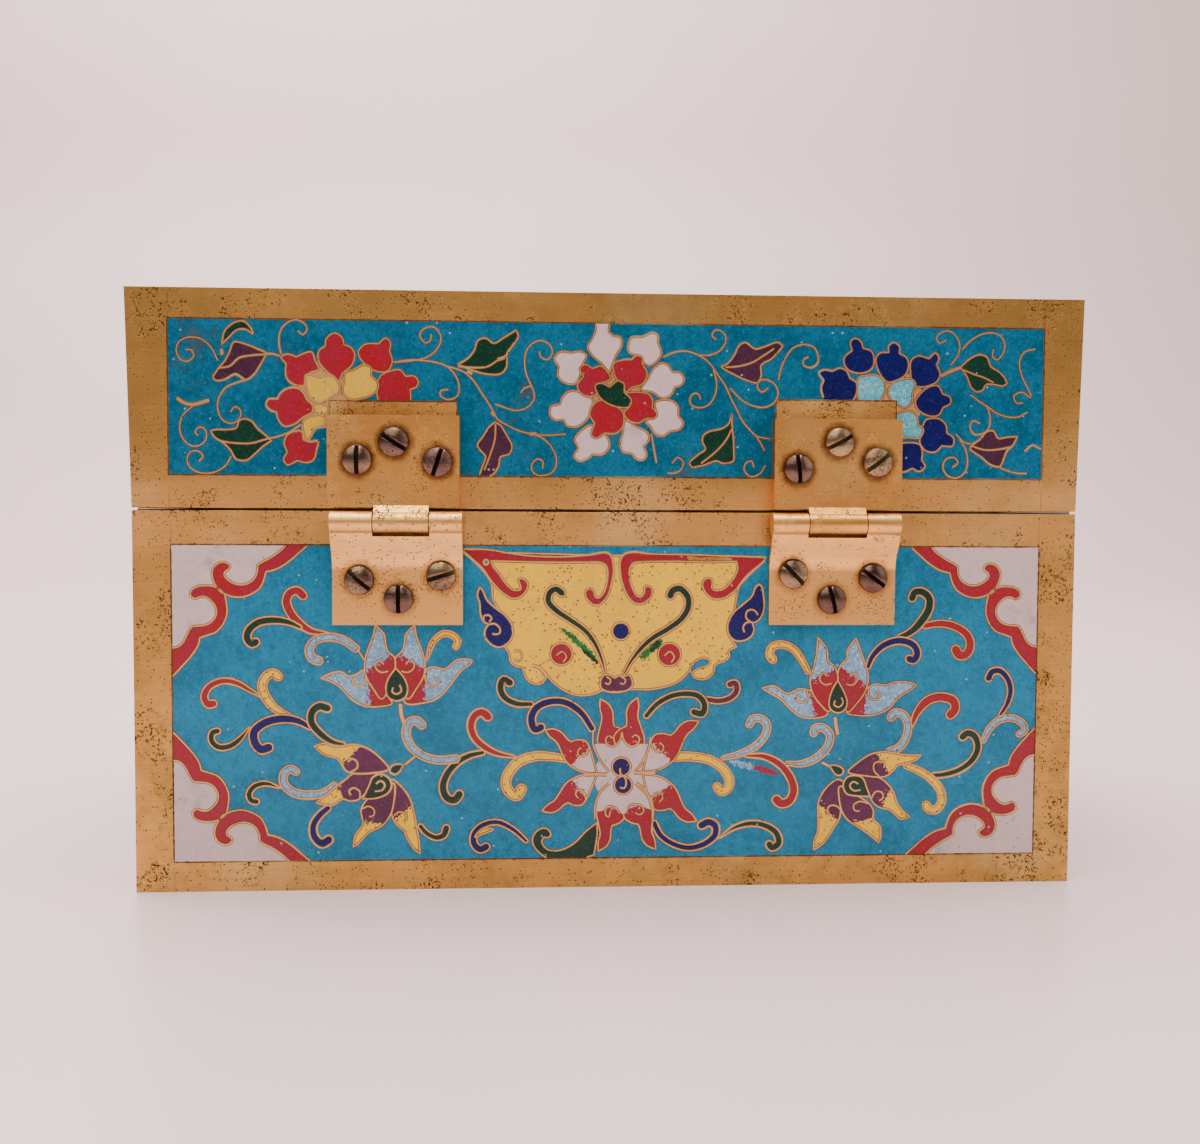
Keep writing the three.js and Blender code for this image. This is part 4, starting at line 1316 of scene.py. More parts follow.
def upper_flowers(design):
    """Two flowers with pale tips and red feet, on brass stems."""
    middle = (-34.7, 32.6)
    sky_red = ("sky", "red", middle, 5.4)
    petal(design, (-46.7, 34.3), path(-45, 35.1, -43.4, 35.3, -42.3, 34.6, -41, 34.9, -39.9, 35.6,
        -39.2, 35, -37.6, 33.4, -36.3, 31.6),
          path(-45.2, 33.8, -43.6, 32.8, -41.8, 30.9, -39.8, 29.8, -37.6, 29.7, -35.4, 30.2),
          *sky_red, path(-39.4, 34.9, -39.9, 33.5, -40.7, 33, -41.5, 33.3, -41.6, 34, -41.1, 34.3))
    petal(design, (-38, 42.8), path(-36.6, 41.3, -36.4, 39.7, -36, 38.6, -35, 37.6, -34.9, 35.9),
          path(-38.4, 41, -39.2, 38.9, -39.7, 36.9, -39.6, 34.8, -38.4, 32.6, -37, 30.9),
          *sky_red, path(-36, 35.4, -37, 35.2, -37.9, 35.8, -38, 36.7, -37.3, 37.1, -36.7, 36.5))
    petal(design, (-22.6, 37.1), path(-23.4, 37.3, -25, 37.2, -26.2, 36.3, -27, 35.7, -28.8, 36.1,
        -29.8, 35.8, -30.2, 35.1, -32.2, 33.4, -33.6, 31.6),
          path(-22.9, 36.5, -24, 35.8, -25.2, 34.4, -26.4, 32.8, -28.2, 31, -30.2, 30.3, -33.2, 30.2),
          *sky_red, path(-30.2, 34.9, -29.9, 33.5, -29.1, 33, -28.3, 33.2, -28.1, 33.9, -28.7, 34.2))
    petal(design, (-31.8, 42.8), path(-33.2, 41.3, -33.4, 39.7, -33.8, 38.6, -34.8, 37.6, -34.8, 35.9),
          path(-31.5, 41, -30.7, 38.9, -30.2, 36.9, -30.3, 34.8, -31.5, 32.6, -32.9, 30.9),
          *sky_red, path(-33.9, 35.4, -32.9, 35.2, -32, 35.8, -31.9, 36.7, -32.6, 37.1, -33.2, 36.5))
    drop_heart(design, path(-34.8, 35.9, SHARP, -33.4, 34.2, -32.9, 32.4, -33.4, 31.1, -34.7, 30.6,
        -36, 31.2, -36.4, 32.6, -36, 34.2),
               path(-34.2, 33.2, -33.9, 32.3, -34.6, 31.7, -35.4, 32.1, -35.2, 32.8))
    sky_red = ("sky", "red", (37, 30.6), 5.4)
    petal(design, (24.4, 32.5), path(26.5, 32.8, 28, 31.8, 29, 31.6, 30.2, 32.3, 31.8, 32.2, 33.4, 31.4,
        34.8, 29.6),
          path(25.8, 31.6, 27.5, 30.6, 29.2, 28.9, 31, 27.7, 33.2, 27.5, 35.2, 28.1),
          *sky_red, path(31.8, 32.1, 32, 30.8, 31.2, 30.1, 30.3, 30.3, 30.2, 31, 30.7, 31.4))
    petal(design, (50, 32.9), path(48.3, 33.4, 46, 33.3, 44.9, 32.9, 43.2, 33.1, 42, 32.6, 40.6, 31.4,
        39.2, 29.7),
          path(49, 32.1, 47.2, 31, 45.2, 28.9, 43, 28, 40.5, 27.9, 38.4, 28.4),
          *sky_red, path(42, 32.5, 42, 31.2, 42.8, 30.5, 43.7, 30.8, 43.8, 31.5, 43.2, 31.8))
    petal(design, (33.5, 40.8), path(35.1, 38.6, 35.2, 37, 36.3, 36, 36.8, 34.8, 36.9, 33.7),
          path(33.3, 38.3, 32.9, 36, 32.3, 34, 32.7, 31.7, 34.2, 29.6, 35.5, 28.6),
          *sky_red, path(35.8, 33.2, 34.8, 33, 34, 33.6, 33.9, 34.5, 34.5, 34.9, 35.1, 34.4))
    petal(design, (39.8, 40.6), path(38.4, 38.6, 38.3, 37.2, 37.4, 36.3, 36.9, 35, 36.9, 33.7),
          path(40.5, 38.8, 41.2, 36.8, 41.9, 34.5, 41.5, 32, 40, 29.8, 38.6, 28.5),
          *sky_red, path(38.3, 33.1, 39.2, 32.9, 40, 33.5, 40.1, 34.4, 39.5, 34.8, 38.9, 34.3))
    drop_heart(design, path(36.9, 33.7, SHARP, 38.2, 31.2, 38.5, 29.8, 37.8, 28.6, 36.6, 28.4, 35.6, 29.2,
        35.5, 30.5, 36, 32.2),
               path(37.5, 30.9, 37.8, 30, 37.1, 29.3, 36.3, 29.7, 36.5, 30.4))
    design.wire(path(-34.1, 30.1, -33.9, 28.3, -33.4, 26.8), 2.4)
    design.wire(path(36.5, 27.6, 36.7, 26.2, 37, 24.8), 2.4)


def lower_flowers(design):
    """Two hanging flowers with yellow tips and purple feet."""
    both = ("yellow", "purple", (-37.4, 17.2), 6.6)
    petal(design, (-31, 5.8), path(-32, 6.6, -33.2, 8.6, -33.6, 9.6, -34.5, 10.3, -35.4, 11.8,
        -35.6, 13.2, -35.8, 15.5, -36.2, 17.4),
          path(-31.1, 7.5, -31.5, 10, -31.9, 12.4, -32.7, 15, -34, 16.8, -35.4, 17.9),
          *both, path(-35.3, 11.9, -34.4, 12.6, -33.4, 12.4, -33.1, 11.6, -33.6, 11))
    petal(design, (-41.7, 7), path(-41.3, 9, -40.1, 10.7, -40.2, 11.6, -40.4, 13, -39.6, 14.5, -38, 15.6),
          path(-41, 7.4, -39.3, 9.2, -37.2, 10.3, -35.8, 12, -35.2, 14, -35.2, 17.3),
          *both, path(-40.2, 13.2, -39.2, 13.6, -38.3, 13, -38.4, 12.1, -39.1, 11.9))
    petal(design, (-47.5, 14.2), path(-46.3, 15.2, -44.4, 16.8, -42.8, 18, -41.5, 19, -38, 19.3),
          path(-45, 13.8, -43.2, 14.8, -42.4, 14.5, -41, 14.6, -40.1, 15.3, -38.6, 17),
          *both, path(-40.6, 14.9, -40.6, 16, -41.5, 16.6, -42.3, 16.1, -42, 15.4))
    petal(design, (-47.8, 23.4), path(-46.3, 23.8, -44.2, 23.3, -41.5, 23.6, -39.2, 22.9, -37.2, 21.3,
        -36, 19.6),
          path(-46.3, 22, -44.2, 21.4, -43.6, 20.7, -42.8, 19.4, -41.9, 19, -39.4, 18.9),
          *both, path(-42, 19.2, -41, 19.8, -41, 20.8, -41.8, 21.3, -42.5, 20.8))
    drop_heart(design, path(-40.1, 14.8, SHARP, -37.9, 14.9, -36.1, 15.7, -35.5, 17, -36, 18.2,
        -37.3, 18.8, -38.6, 18.2, -39, 17.2, -39.6, 15.9),
               path(-38.2, 16, -37, 16.2, -36.6, 17.1, -37.3, 17.7, -38, 17.2))
    both = ("yellow", "purple", (39.6, 16.6), 6.6)
    petal(design, (33.2, 5.7), path(34.5, 6.5, 35.6, 7.8, 36.6, 9.5, 37.4, 10.8, 37.7, 12.3, 37.9, 14.5,
        38.4, 16.4),
          path(33.3, 7.2, 33.9, 9, 33.9, 11.5, 34, 13.9, 35.2, 16, 37.2, 17.4),
          *both, path(37.7, 12.3, 36.9, 13, 35.8, 13, 35.4, 12.1, 36, 11.4))
    petal(design, (44.1, 6.8), path(42.8, 7.9, 41, 9.2, 38.9, 10.6, 37.9, 12, 37.4, 14, 37.4, 16.2),
          path(44.4, 8.2, 44.2, 9.6, 43.1, 10.8, 43.1, 12.1, 42.4, 13.3, 40.8, 14.4),
          *both, path(42.4, 13.3, 40.8, 13.7, 39.8, 13.1, 40, 12.2, 40.8, 12.1))
    petal(design, (49.2, 11.1), path(48.2, 11.9, 47.1, 13.3, 46.3, 15.4, 44.8, 17.1, 42.7, 18.1,
        40.5, 18.2),
          path(47.7, 10.7, 46.6, 11.6, 45.7, 12.3, 44.3, 12.6, 43, 13.5, 42.4, 14.8, 41, 16.4),
          *both, path(42.8, 14.3, 43.4, 15.3, 44.4, 15.2, 44.7, 14.3, 44, 13.8))
    petal(design, (50.9, 21.3), path(48, 21.4, 45, 21.9, 42.5, 21.5, 40.2, 20, 38.8, 18.6),
          path(50.2, 20.6, 48.5, 19.9, 47, 19.6, 46.3, 18.8, 45.2, 17.9, 44.2, 17.7, 42, 17.9),
          *both, path(44, 17.8, 43.1, 18.8, 43.1, 19.9, 44, 20.3, 44.9, 20, 44.7, 19.3))
    drop_heart(design, path(42.5, 14.5, SHARP, 40.5, 14.6, 38.6, 15, 38, 16.4, 38.6, 17.7, 40, 18,
        41.2, 17.6, 42, 15.8),
               path(40.9, 15.6, 39.8, 15.5, 39.1, 16.3, 39.7, 17, 40.5, 16.6))
    design.wire(path(-31.8, 21.6, -33.4, 20.3), 1.6)
    design.cell("green", path(-33.6, 20.3, SHARP, -34.2, 19.2, -35, 18.7, -35.8, 19.2, -35.5, 20.1,
        -34.6, 20.4))
    design.wire(path(34.4, 20.2, 35.6, 19.6), 1.6)
    design.cell("green", path(35.6, 19.7, SHARP, 36.9, 19.7, 38, 19, 37.8, 18.2, 36.9, 18.1, 36.1, 19))


def butterfly(design):
    """A yellow butterfly with red scrolled wing bands, blue side lobes and curled feelers."""
    design.cell("yellow", path(-24.2, 54.6, SHARP, -22.5, 53.2, -21, 51.7, -19.6, 49.6, -19.4, 48,
        -19.3, 47, -18, 44.8, -16.6, 43.2, -16.1, 41.6, -16.6, 40.2, -17.5, 39.4, SHARP, -16.7, 38.2,
        -16.5, 36.9, -15.5, 36.1, -14.5, 35.9, SHARP, -14.4, 35.3, -13.8, 34, -12.8, 33.3, -11.6, 33.3,
        -10.9, 34, -10.7, 34.7, SHARP, -9.7, 33.6, -8, 32.3, -6, 31.5, -4, 31.4, -2.5, 31.8, -1.6, 32.2,
        .8, 31.9, 2.6, 32.3, 6, 32.3, 8, 32.6, 10, 33.2, 11.5, 34.2, 12.7, 35.6, SHARP, 12.9, 34.9,
        13.2, 34.3, 14.2, 33.9, 15.5, 34.1, 16.4, 35, 16.6, 36.1, SHARP, 17, 36.5, 18.2, 36.9, 19, 37.7,
        18.9, 38.6, 20.2, 39.2, SHARP, 19.4, 40.3, 18.8, 41.4, 18.7, 43, 19.6, 44.8, 20, 46.6, 20.4, 48.8,
        22, 50.8, 24.6, 53.2, SHARP, 22, 53.6, 0, 54, -20, 54.5))
    design.cell("red", path(-24.4, 55, SHARP, -20, 54.9, -17, 54.4, -13, 53.9, -8, 53.8, -4, 54.1,
        -1.2, 54.5, -.4, 54.1, 0, 52.8, .1, 51.3, -.3, 49.3, -1, 47.3, -2.2, 46.1, -3.2, 46.1, -4.3, 47.2,
        -4.4, 48.3, -3.7, 48.7, -3.1, 48.3, -2.9, 47.4, -2.3, 47.2, -1.5, 48, -1, 49.8, -.9, 51.3,
        -1.2, 52.4, -1.9, 52.8, -5, 52.9, -10, 52.9, -15, 53, -19.6, 53.1, SHARP, -19.3, 52.3, -18.3, 51,
        -17, 49.2, -15.9, 48.4, -14.8, 48.6, -15, 49.5, -15.2, 50.2, -14.6, 50.3, -13.9, 49.8,
        -13.7, 49.2, -14.2, 48, -15.2, 47.2, -16.2, 47.1, -17.8, 48, -19.5, 49.8, -21, 51.9, -22.5, 53.3))
    design.cell("red", path(24.8, 53.8, SHARP, 22, 53.9, 18, 54, 12, 54.2, 6, 54.3, 3, 54.6, 1.6, 54.1,
        1.1, 53, 1.1, 51.5, 1.4, 49.8, 2.2, 47.8, 3.4, 46.4, 4.8, 46.3, 6.2, 47.5, 6.3, 48.6, 5.7, 49.1,
        5.1, 48.9, 5.1, 48.2, 4.6, 47.4, 3.9, 47.5, 3.1, 48.9, 2.7, 50.5, 2.7, 51.8, 3.2, 52.7, 5, 53,
        10, 53.1, 15, 53, 20, 53.1, SHARP, 20.2, 51.8, 19.3, 50, 18, 48.7, 16.7, 48.4, 16, 48.8,
        16.1, 49.5, 16, 50.2, 15.2, 50.4, 14.5, 49.6, 14.9, 48.2, 16.2, 47.1, 17.8, 47.1, 19.6, 48.2,
        21.3, 50.3, 22.5, 51.5, 24.3, 53))
    design.cell("land_brass", path(12, 54.1, 14, 53.7, 17, 53.9, 19.3, 53.5, 19.2, 53.2, 16, 53.2,
        12.2, 53.3), False)
    disc(design, "turquoise", -20.4, 52.9, .4)
    design.cell("blue", path(-21.4, 48.9, SHARP, -20.9, 48.3, -20.3, 46.9, -19.2, 45.8, -17.3, 44.3,
        -16.2, 42.6, -16.2, 41, -17, 39.8, -18.3, 39.2, -19.6, 39.7, -20.6, 41, -20.5, 42.2, -20, 42.9,
        SHARP, -20.8, 43.4, -21.3, 44.6, -21.4, 46.3, -21.8, 47.7))
    design.wire(path(-20, 42.9, -19, 43, -18.2, 42.3, -18.2, 41.5, -18.9, 41.3, -19.4, 41.4))
    design.wire(path(-20.7, 43.5, -20.8, 44.2, -20, 44.4, -19.5, 43.9, -19.9, 43.3))
    design.cell("blue", path(23.8, 49.4, SHARP, 23.2, 49, 22.6, 47.5, 21.2, 46.2, 19.6, 44.8, 18.7, 43,
        18.8, 41.4, 19.8, 40.3, 21.2, 40.2, 22.5, 40.9, 23, 42, 22.7, 43.1, SHARP, 23.5, 43.4, 24.2, 44.2,
        24.6, 45.5, 24.5, 47.5, 24.2, 49))
    design.wire(path(22.9, 43.2, 21.8, 43.2, 21.2, 42.5, 21.4, 41.6))
    design.wire(path(22.6, 43.2, 21.7, 43.9, 21.8, 45, 22.7, 45.3, 23.4, 44.8, 23.6, 44.4))
    smear(design, "jade", (-8.2, 42.2), (-2.9, 37.6), 0.8, 150)
    smear(design, "jade", (8, 40.2), (4.6, 37.4), 1.1, 130)
    smear(design, "green", (-4.9, 38.9), (-2.4, 36.6), 0.35, 40)
    smear(design, "green", (7.6, 40.2), (6.2, 38.6), 0.5, 50)
    tendril(design, "green", (.35, .9, 1.2), path(-1.2, 34.9, -1.8, 37.3, -3, 40, -4.6, 42, -7, 43.7,
        -9.2, 45.2, -10.4, 46.6, -10.2, 48, -9.2, 48.6, -8.3, 48))
    tendril(design, "green", (.4, 1, 1.3), path(1.9, 35, 2.9, 36.8, 4.6, 39, 6.5, 40.7, 9, 42.2,
        11.2, 43.9, 12.2, 45.7, 12.1, 47.4, 10.8, 48.7, 9.6, 48.3, 9.3, 47.6))
    disc(design, "blue", 1.3, 41.8, 1.4)
    disc(design, "red", -8.3, 38.1, 1.75)
    design.wire(path(-9.1, 37.9, -8.2, 38.5, -7.5, 37.7, -8, 36.8))
    disc(design, "red", 9.2, 38, 1.85)
    design.wire(path(8.4, 37.8, 9.3, 38.5, 10, 37.6, 9.5, 36.7))
    design.cell("purple", path(-2, 33.4, -1.9, 34, -1.4, 34.7, -.5, 34.7, .4, 34.2, 1, 34.6, 1.8, 34.4,
        2.6, 34.7, 3.1, 34, 3.2, 33, 2.4, 32.2, .8, 31.9, -.8, 32, -1.8, 32.5))
    for about in (0, 1.2):
        design.wire(path(-1 + about * 2, 34.4, -.3 + about * 2, 33.9, -.6 + about * 2, 33.2,
            -1.2 + about * 2, 33.4))
    design.cell("turquoise", path(12.6, 35.8, 13.5, 36.9, 14.6, 37.4, 15.6, 37.2, 15.8, 36.6, 15.2, 36.1,
        13.8, 35.7, 12.8, 35))
    design.wire(path(-13, 36.3, -11.8, 35.9, -10.6, 34.6), 1.8)
    design.wire(path(-16, 38.6, -15, 38.6, -14.6, 37.6, -15.2, 36.9, -15.9, 37.3))


def stems_below(design):
    """A green sickle under the lotus and a yellow crescent in the blue shoot beside it."""
    design.cell("green", path(-2.4, 10.6, SHARP, -4.2, 9.2, -6.2, 7.2, -8.5, 6.1, -10.5, 6.3, -11.4, 7.6,
        -11, 8.3, SHARP, -10.3, 8.2, -9.9, 8.7, -10.2, 9.4, -11, 9.8, -12.2, 9.3, -12.9, 8, -12.5, 6.6,
        -11.2, 5.3, -9.8, 4.6, -6, 4.4, -2.9, 5.3, SHARP, -2.4, 8.5))
    design.cell("yellow", path(-22.2, 8.4, -20.8, 9.9, -19.2, 9.6, -20.6, 9))


def draw_body_long(design):
    """Long side of the body: a butterfly above a lotus, with four flowers on curling shoots."""
    wide = HALF_WIDTH - BODY_STILE
    spandrels(design, wide, *BODY_WINDOW)
    smear(design, "sky", (19.5, 20.4), (23.4, 19.4), 0.9, 60)
    smear(design, "red", (23, 19.6), (27, 18.4), 0.8, 70)
    for glaze, widths, spine in LEFT_TENDRILS + RIGHT_TENDRILS:
        tendril(design, glaze, widths, spine)
    design.wire(path(-41, 39, -40, 37.6, -39.2, 36))
    stems_below(design)
    upper_flowers(design)
    lower_flowers(design)
    butterfly(design)
    central_lotus(design)


# Lid: petals and leaves of three flowers, and the single wires that scroll between them.
RED_FLOWER = (
    ("red", path(-52.6, 85.2, -51.5, 85.6, -50.2, 85.2, -48.9, 85.8, -47.8, 86, -47.3, 84.7, -46.7, 83.3,
        -48.1, 82.7, -48.9, 81.8, -49, 80.7, -50.5, 80.8, -51.7, 81.8, -51.9, 83.1, -51.8, 84.1)),
    ("red", path(-46.7, 86.2, -45.7, 86.9, -45.5, 88.1, -44.2, 89, -43, 88.2, -42.8, 87.2, -41.7, 86.8,
        -41.1, 85.7, -41.5, 84.1, -43.1, 82.6, -43.6, 81.5, -44.9, 82.4, -45.7, 83.1, -46.7, 84.4)),
    ("red", path(-40.5, 86.2, -39.4, 87.3, -37.3, 87.4, -36.3, 88.3, -35.5, 87.6, -35.6, 86.2,
        -35.2, 84.7, -36, 83.1, -38.1, 83.2, -39.7, 84.4, -40.3, 85.2)),
    ("red", path(-37.1, 82.3, -35.2, 83.2, -33.9, 83.3, -33.1, 82.3, -31.8, 82.4, -31.1, 81.5,
        -31.5, 80.6, -32.4, 80.3, -32.4, 78.6, -33.6, 77.4, -36, 77.6, -37.4, 78.6, -37.6, 80.6)),
    ("red", path(-49.9, 80.3, -51.5, 80.3, -52.8, 79.4, -53.2, 78.6, -54.6, 78.5, -55, 77.6, -54.3, 76.8,
        -53.4, 76.5, -53, 75.2, -52.1, 74.3, -50.5, 74.7, -49.2, 75.7, -47.8, 76.5, -47.7, 77.6,
        -48.6, 78.6, -49.2, 79.7)),
    ("red", path(-49.7, 73.6, -51.5, 73.1, -52.2, 71.8, -51.7, 70.2, -52.3, 69.1, -51.7, 68.2,
        -50.2, 68.9, -48.6, 68.6, -47.6, 69.1, -47.1, 70.7, -46.9, 72, -48.1, 71.9, -49.2, 72.2,
        -49.3, 73.3)),
    ("lemon", path(-48.8, 82.3, -47.8, 82.4, -46.7, 82, -44.9, 82.4, -43.6, 81.2, -43.5, 79.9,
        -44.9, 78.9, -46.3, 78.1, -47.8, 78.5, -48.6, 79.7, -48.8, 81.2)),
    ("lemon", path(-42.8, 81.5, -42.6, 82.8, -41.3, 83.3, -39.7, 84.1, -38.5, 83.6, -38.5, 82.4,
        -37.4, 81.2, -37.7, 79.9, -39.4, 78.9, -41.8, 78.6, -43, 79.7)),
    ("lemon", path(-49.2, 75.2, -47.8, 76, -46, 76, -45.7, 74.7, -47.3, 73.9, -47.8, 73.1, -48.6, 72,
        -49.2, 73.3)),
    ("lemon", path(-47.6, 77.6, -46.6, 77.9, -45.3, 77.3, -45.5, 76.4, -47.2, 76.3)),
)
WHITE_FLOWER = (
    ("white", path(-9.6, 85.4, -8.6, 86.5, -6.8, 86.4, -5.5, 86.6, -4.4, 86, -5.1, 84.4, -5.5, 82.6,
        -6.3, 81.4, -7.8, 81.5, -9, 82.6, -8.9, 84.1)),
    ("white", path(-5.7, 80.2, -7.3, 80.2, -8.4, 79.1, -8.6, 78.2, -10.1, 77.8, -10.3, 76.5, -9.4, 75.6,
        -8.1, 75.7, -7.6, 74.8, -6.3, 74.5, -4.9, 75.2, -3.9, 76.5, -3.5, 78.1, -3.4, 78.9)),
    ("white", path(-3.6, 74.9, -5.2, 74, -6.3, 72.6, -5.7, 71.2, -6.4, 69.9, -5.5, 69.1, -3.9, 69.7,
        -3.4, 70.2, -1.8, 70.2, -.7, 71.5, -1.1, 73.1)),
    ("white", path(-2.9, 91.2, -3, 89.9, -3.6, 88.6, -4.3, 87.3, -3.6, 86, -2.1, 84.7, -.7, 83.3,
        -.5, 83.9, .3, 86, 1.2, 87.6, 1, 88.9, -.1, 89.1, -.9, 89.7, -.9, 91.2)),
    ("white", path(2.4, 86.5, 2.2, 87.6, 2.8, 88.9, 4.3, 89, 5.2, 89.3, 6, 89.7, 7, 89.3, 7, 88.1,
        7.6, 86.5, 6.9, 85.2, 5.6, 84.4, 4.7, 84.9, 4.5, 85.7, 3.6, 86.1)),
    ("white", path(7.7, 84.9, 8.7, 84.5, 9.4, 83.5, 10.6, 83.4, 11.3, 82.4, 10.8, 81.4, 9.8, 81,
        9.1, 79.7, 7.7, 79.3, 6.1, 80.2, 4.3, 80.6, 5.3, 82.3, 6.4, 84.1)),
    ("white", path(6.6, 78.6, 9, 79, 10.3, 78.1, 10.4, 76.5, 11.2, 75.4, 10.6, 74.3, 9.1, 74, 7.9, 73.2,
        6.6, 73.6, 5.7, 74.9, 5.1, 75.4, 6.9, 76.8)),
    ("white", path(1.8, 75.7, 1.4, 73.6, 1, 72, 1.4, 70.7, 2.9, 70.4, 3.7, 69.5, 4.7, 69.4, 5.3, 70.2,
        4.8, 71.5, 5.7, 72.8, 5.3, 73.9, 3.7, 74.7)),
    ("red", path(-5.5, 83.9, -4.7, 84.5, -3.4, 83.9, -2.1, 84.3, -1.3, 83.6, -.6, 82.3, -2.1, 81.5,
        -2.8, 81, -2.7, 79.9, -3.9, 79.4, -5.3, 79.9, -5.9, 81.2, -4.9, 82.6)),
    ("red", path(-.1, 84.7, 1.4, 85.3, 2.8, 85.4, 3.6, 86.1, 4.5, 85.7, 4.5, 84.7, 5.3, 83.1, 4.5, 81.5,
        2.9, 81, 1.9, 80.2, 1.6, 81.5, .6, 82, 0, 83.1)),
    ("red", path(1.9, 79.9, 4, 80.2, 5.6, 79.9, 6.2, 78.9, 6.1, 77.8, 6.9, 76.8, 6.6, 76.1, 5.1, 76,
        4, 75.3, 2.4, 75.7, 1.6, 76.8, 2.4, 77.8, 2.8, 78.9)),
    ("red", path(-2.1, 78.9, -3.4, 78.1, -3.9, 76.5, -3.1, 75.2, -3.6, 73.3, -2.8, 72.8, -1.5, 73.6,
        .3, 73.6, 1.4, 74.7, 1.5, 76.8, .8, 77.6)),
    ("green", path(-3, 81.2, -2.1, 81.6, -.7, 81, 0, 81.6, .6, 82, 1.6, 81.5, 1.6, 80.2, 2.8, 78.9,
        2.3, 77.8, .6, 77.8, -.7, 78.2, -2.1, 79.1, -2.8, 80.2)),
)
BLUE_FLOWER = (
    ("blue", path(33.1, 83.6, 34, 84.1, 35.3, 83.9, 36.5, 84.4, 37.6, 84, 38.2, 82.8, 39.3, 82, 39, 79.6,
        37, 78.4, 34.6, 78.6, 33.5, 81.2, 33.9, 82.4)),
    ("blue", path(37.2, 85.2, 37.3, 86.2, 38.5, 87.2, 38.2, 88.6, 39, 89.2, 39.9, 88.7, 40.3, 87.6,
        41.6, 87.2, 42.1, 86, 41.8, 84.4, 40.1, 83.6, 37.9, 84.1)),
    ("blue", path(42.4, 86, 43.1, 86.9, 44.5, 87, 44.5, 88.1, 45.4, 88.6, 46.3, 87.9, 46.2, 86.9,
        47.4, 86.2, 47.8, 84.9, 47.2, 83.3, 45.6, 82.4, 44.4, 82.2, 42.9, 83.9)),
    ("blue", path(48.2, 85.7, 49.3, 86.5, 51.1, 86.1, 52.2, 87, 52.8, 86.2, 52.4, 85.1, 53, 83.6,
        52.4, 82.3, 50.3, 81.5, 48.7, 81.8, 48.1, 83.9)),
    ("blue", path(49.8, 80.4, 51.1, 81.5, 52.7, 81.7, 53.5, 80.4, 54.7, 79.9, 54.8, 78.9, 53.6, 78.2,
        52.9, 77, 51.4, 76.8, 49.5, 77.8, 49, 79.1)),
    ("blue", path(50.8, 76.2, 52.9, 76.4, 54.1, 75.4, 54.3, 74.1, 55.4, 73.3, 55.3, 72, 53.5, 72,
        52.4, 71, 50.8, 71.2, 49.8, 72.6, 50.1, 73.9, 50.3, 75.2)),
    ("blue", path(47, 72.4, 49.8, 72.2, 50.3, 71, 50.2, 69.7, 50.8, 68.6, 49.8, 67.8, 48.7, 68.3,
        47, 67.7, 45.6, 68.6, 45.4, 70.4, 45.9, 71.8)),
    ("aqua", path(39.4, 81.2, 39.5, 82.8, 41.1, 83.3, 42.9, 83.2, 43.9, 82, 43.7, 79.9, 42.6, 78.8,
        40.4, 78.6, 39.5, 79.8)),
    ("aqua", path(44.5, 81, 45.6, 82.3, 48.2, 82.8, 49, 82, 48.5, 80.4, 48.5, 79.1, 47.2, 78.1,
        45.8, 78.9, 44.8, 79.7)),
    ("aqua", path(46.4, 77.3, 48.2, 77.6, 49.3, 76.8, 49.5, 75.4, 50.4, 74.7, 49.8, 73.3, 47.7, 73.3,
        46.4, 73.3, 45.2, 74.4, 45.2, 76.4)),
)
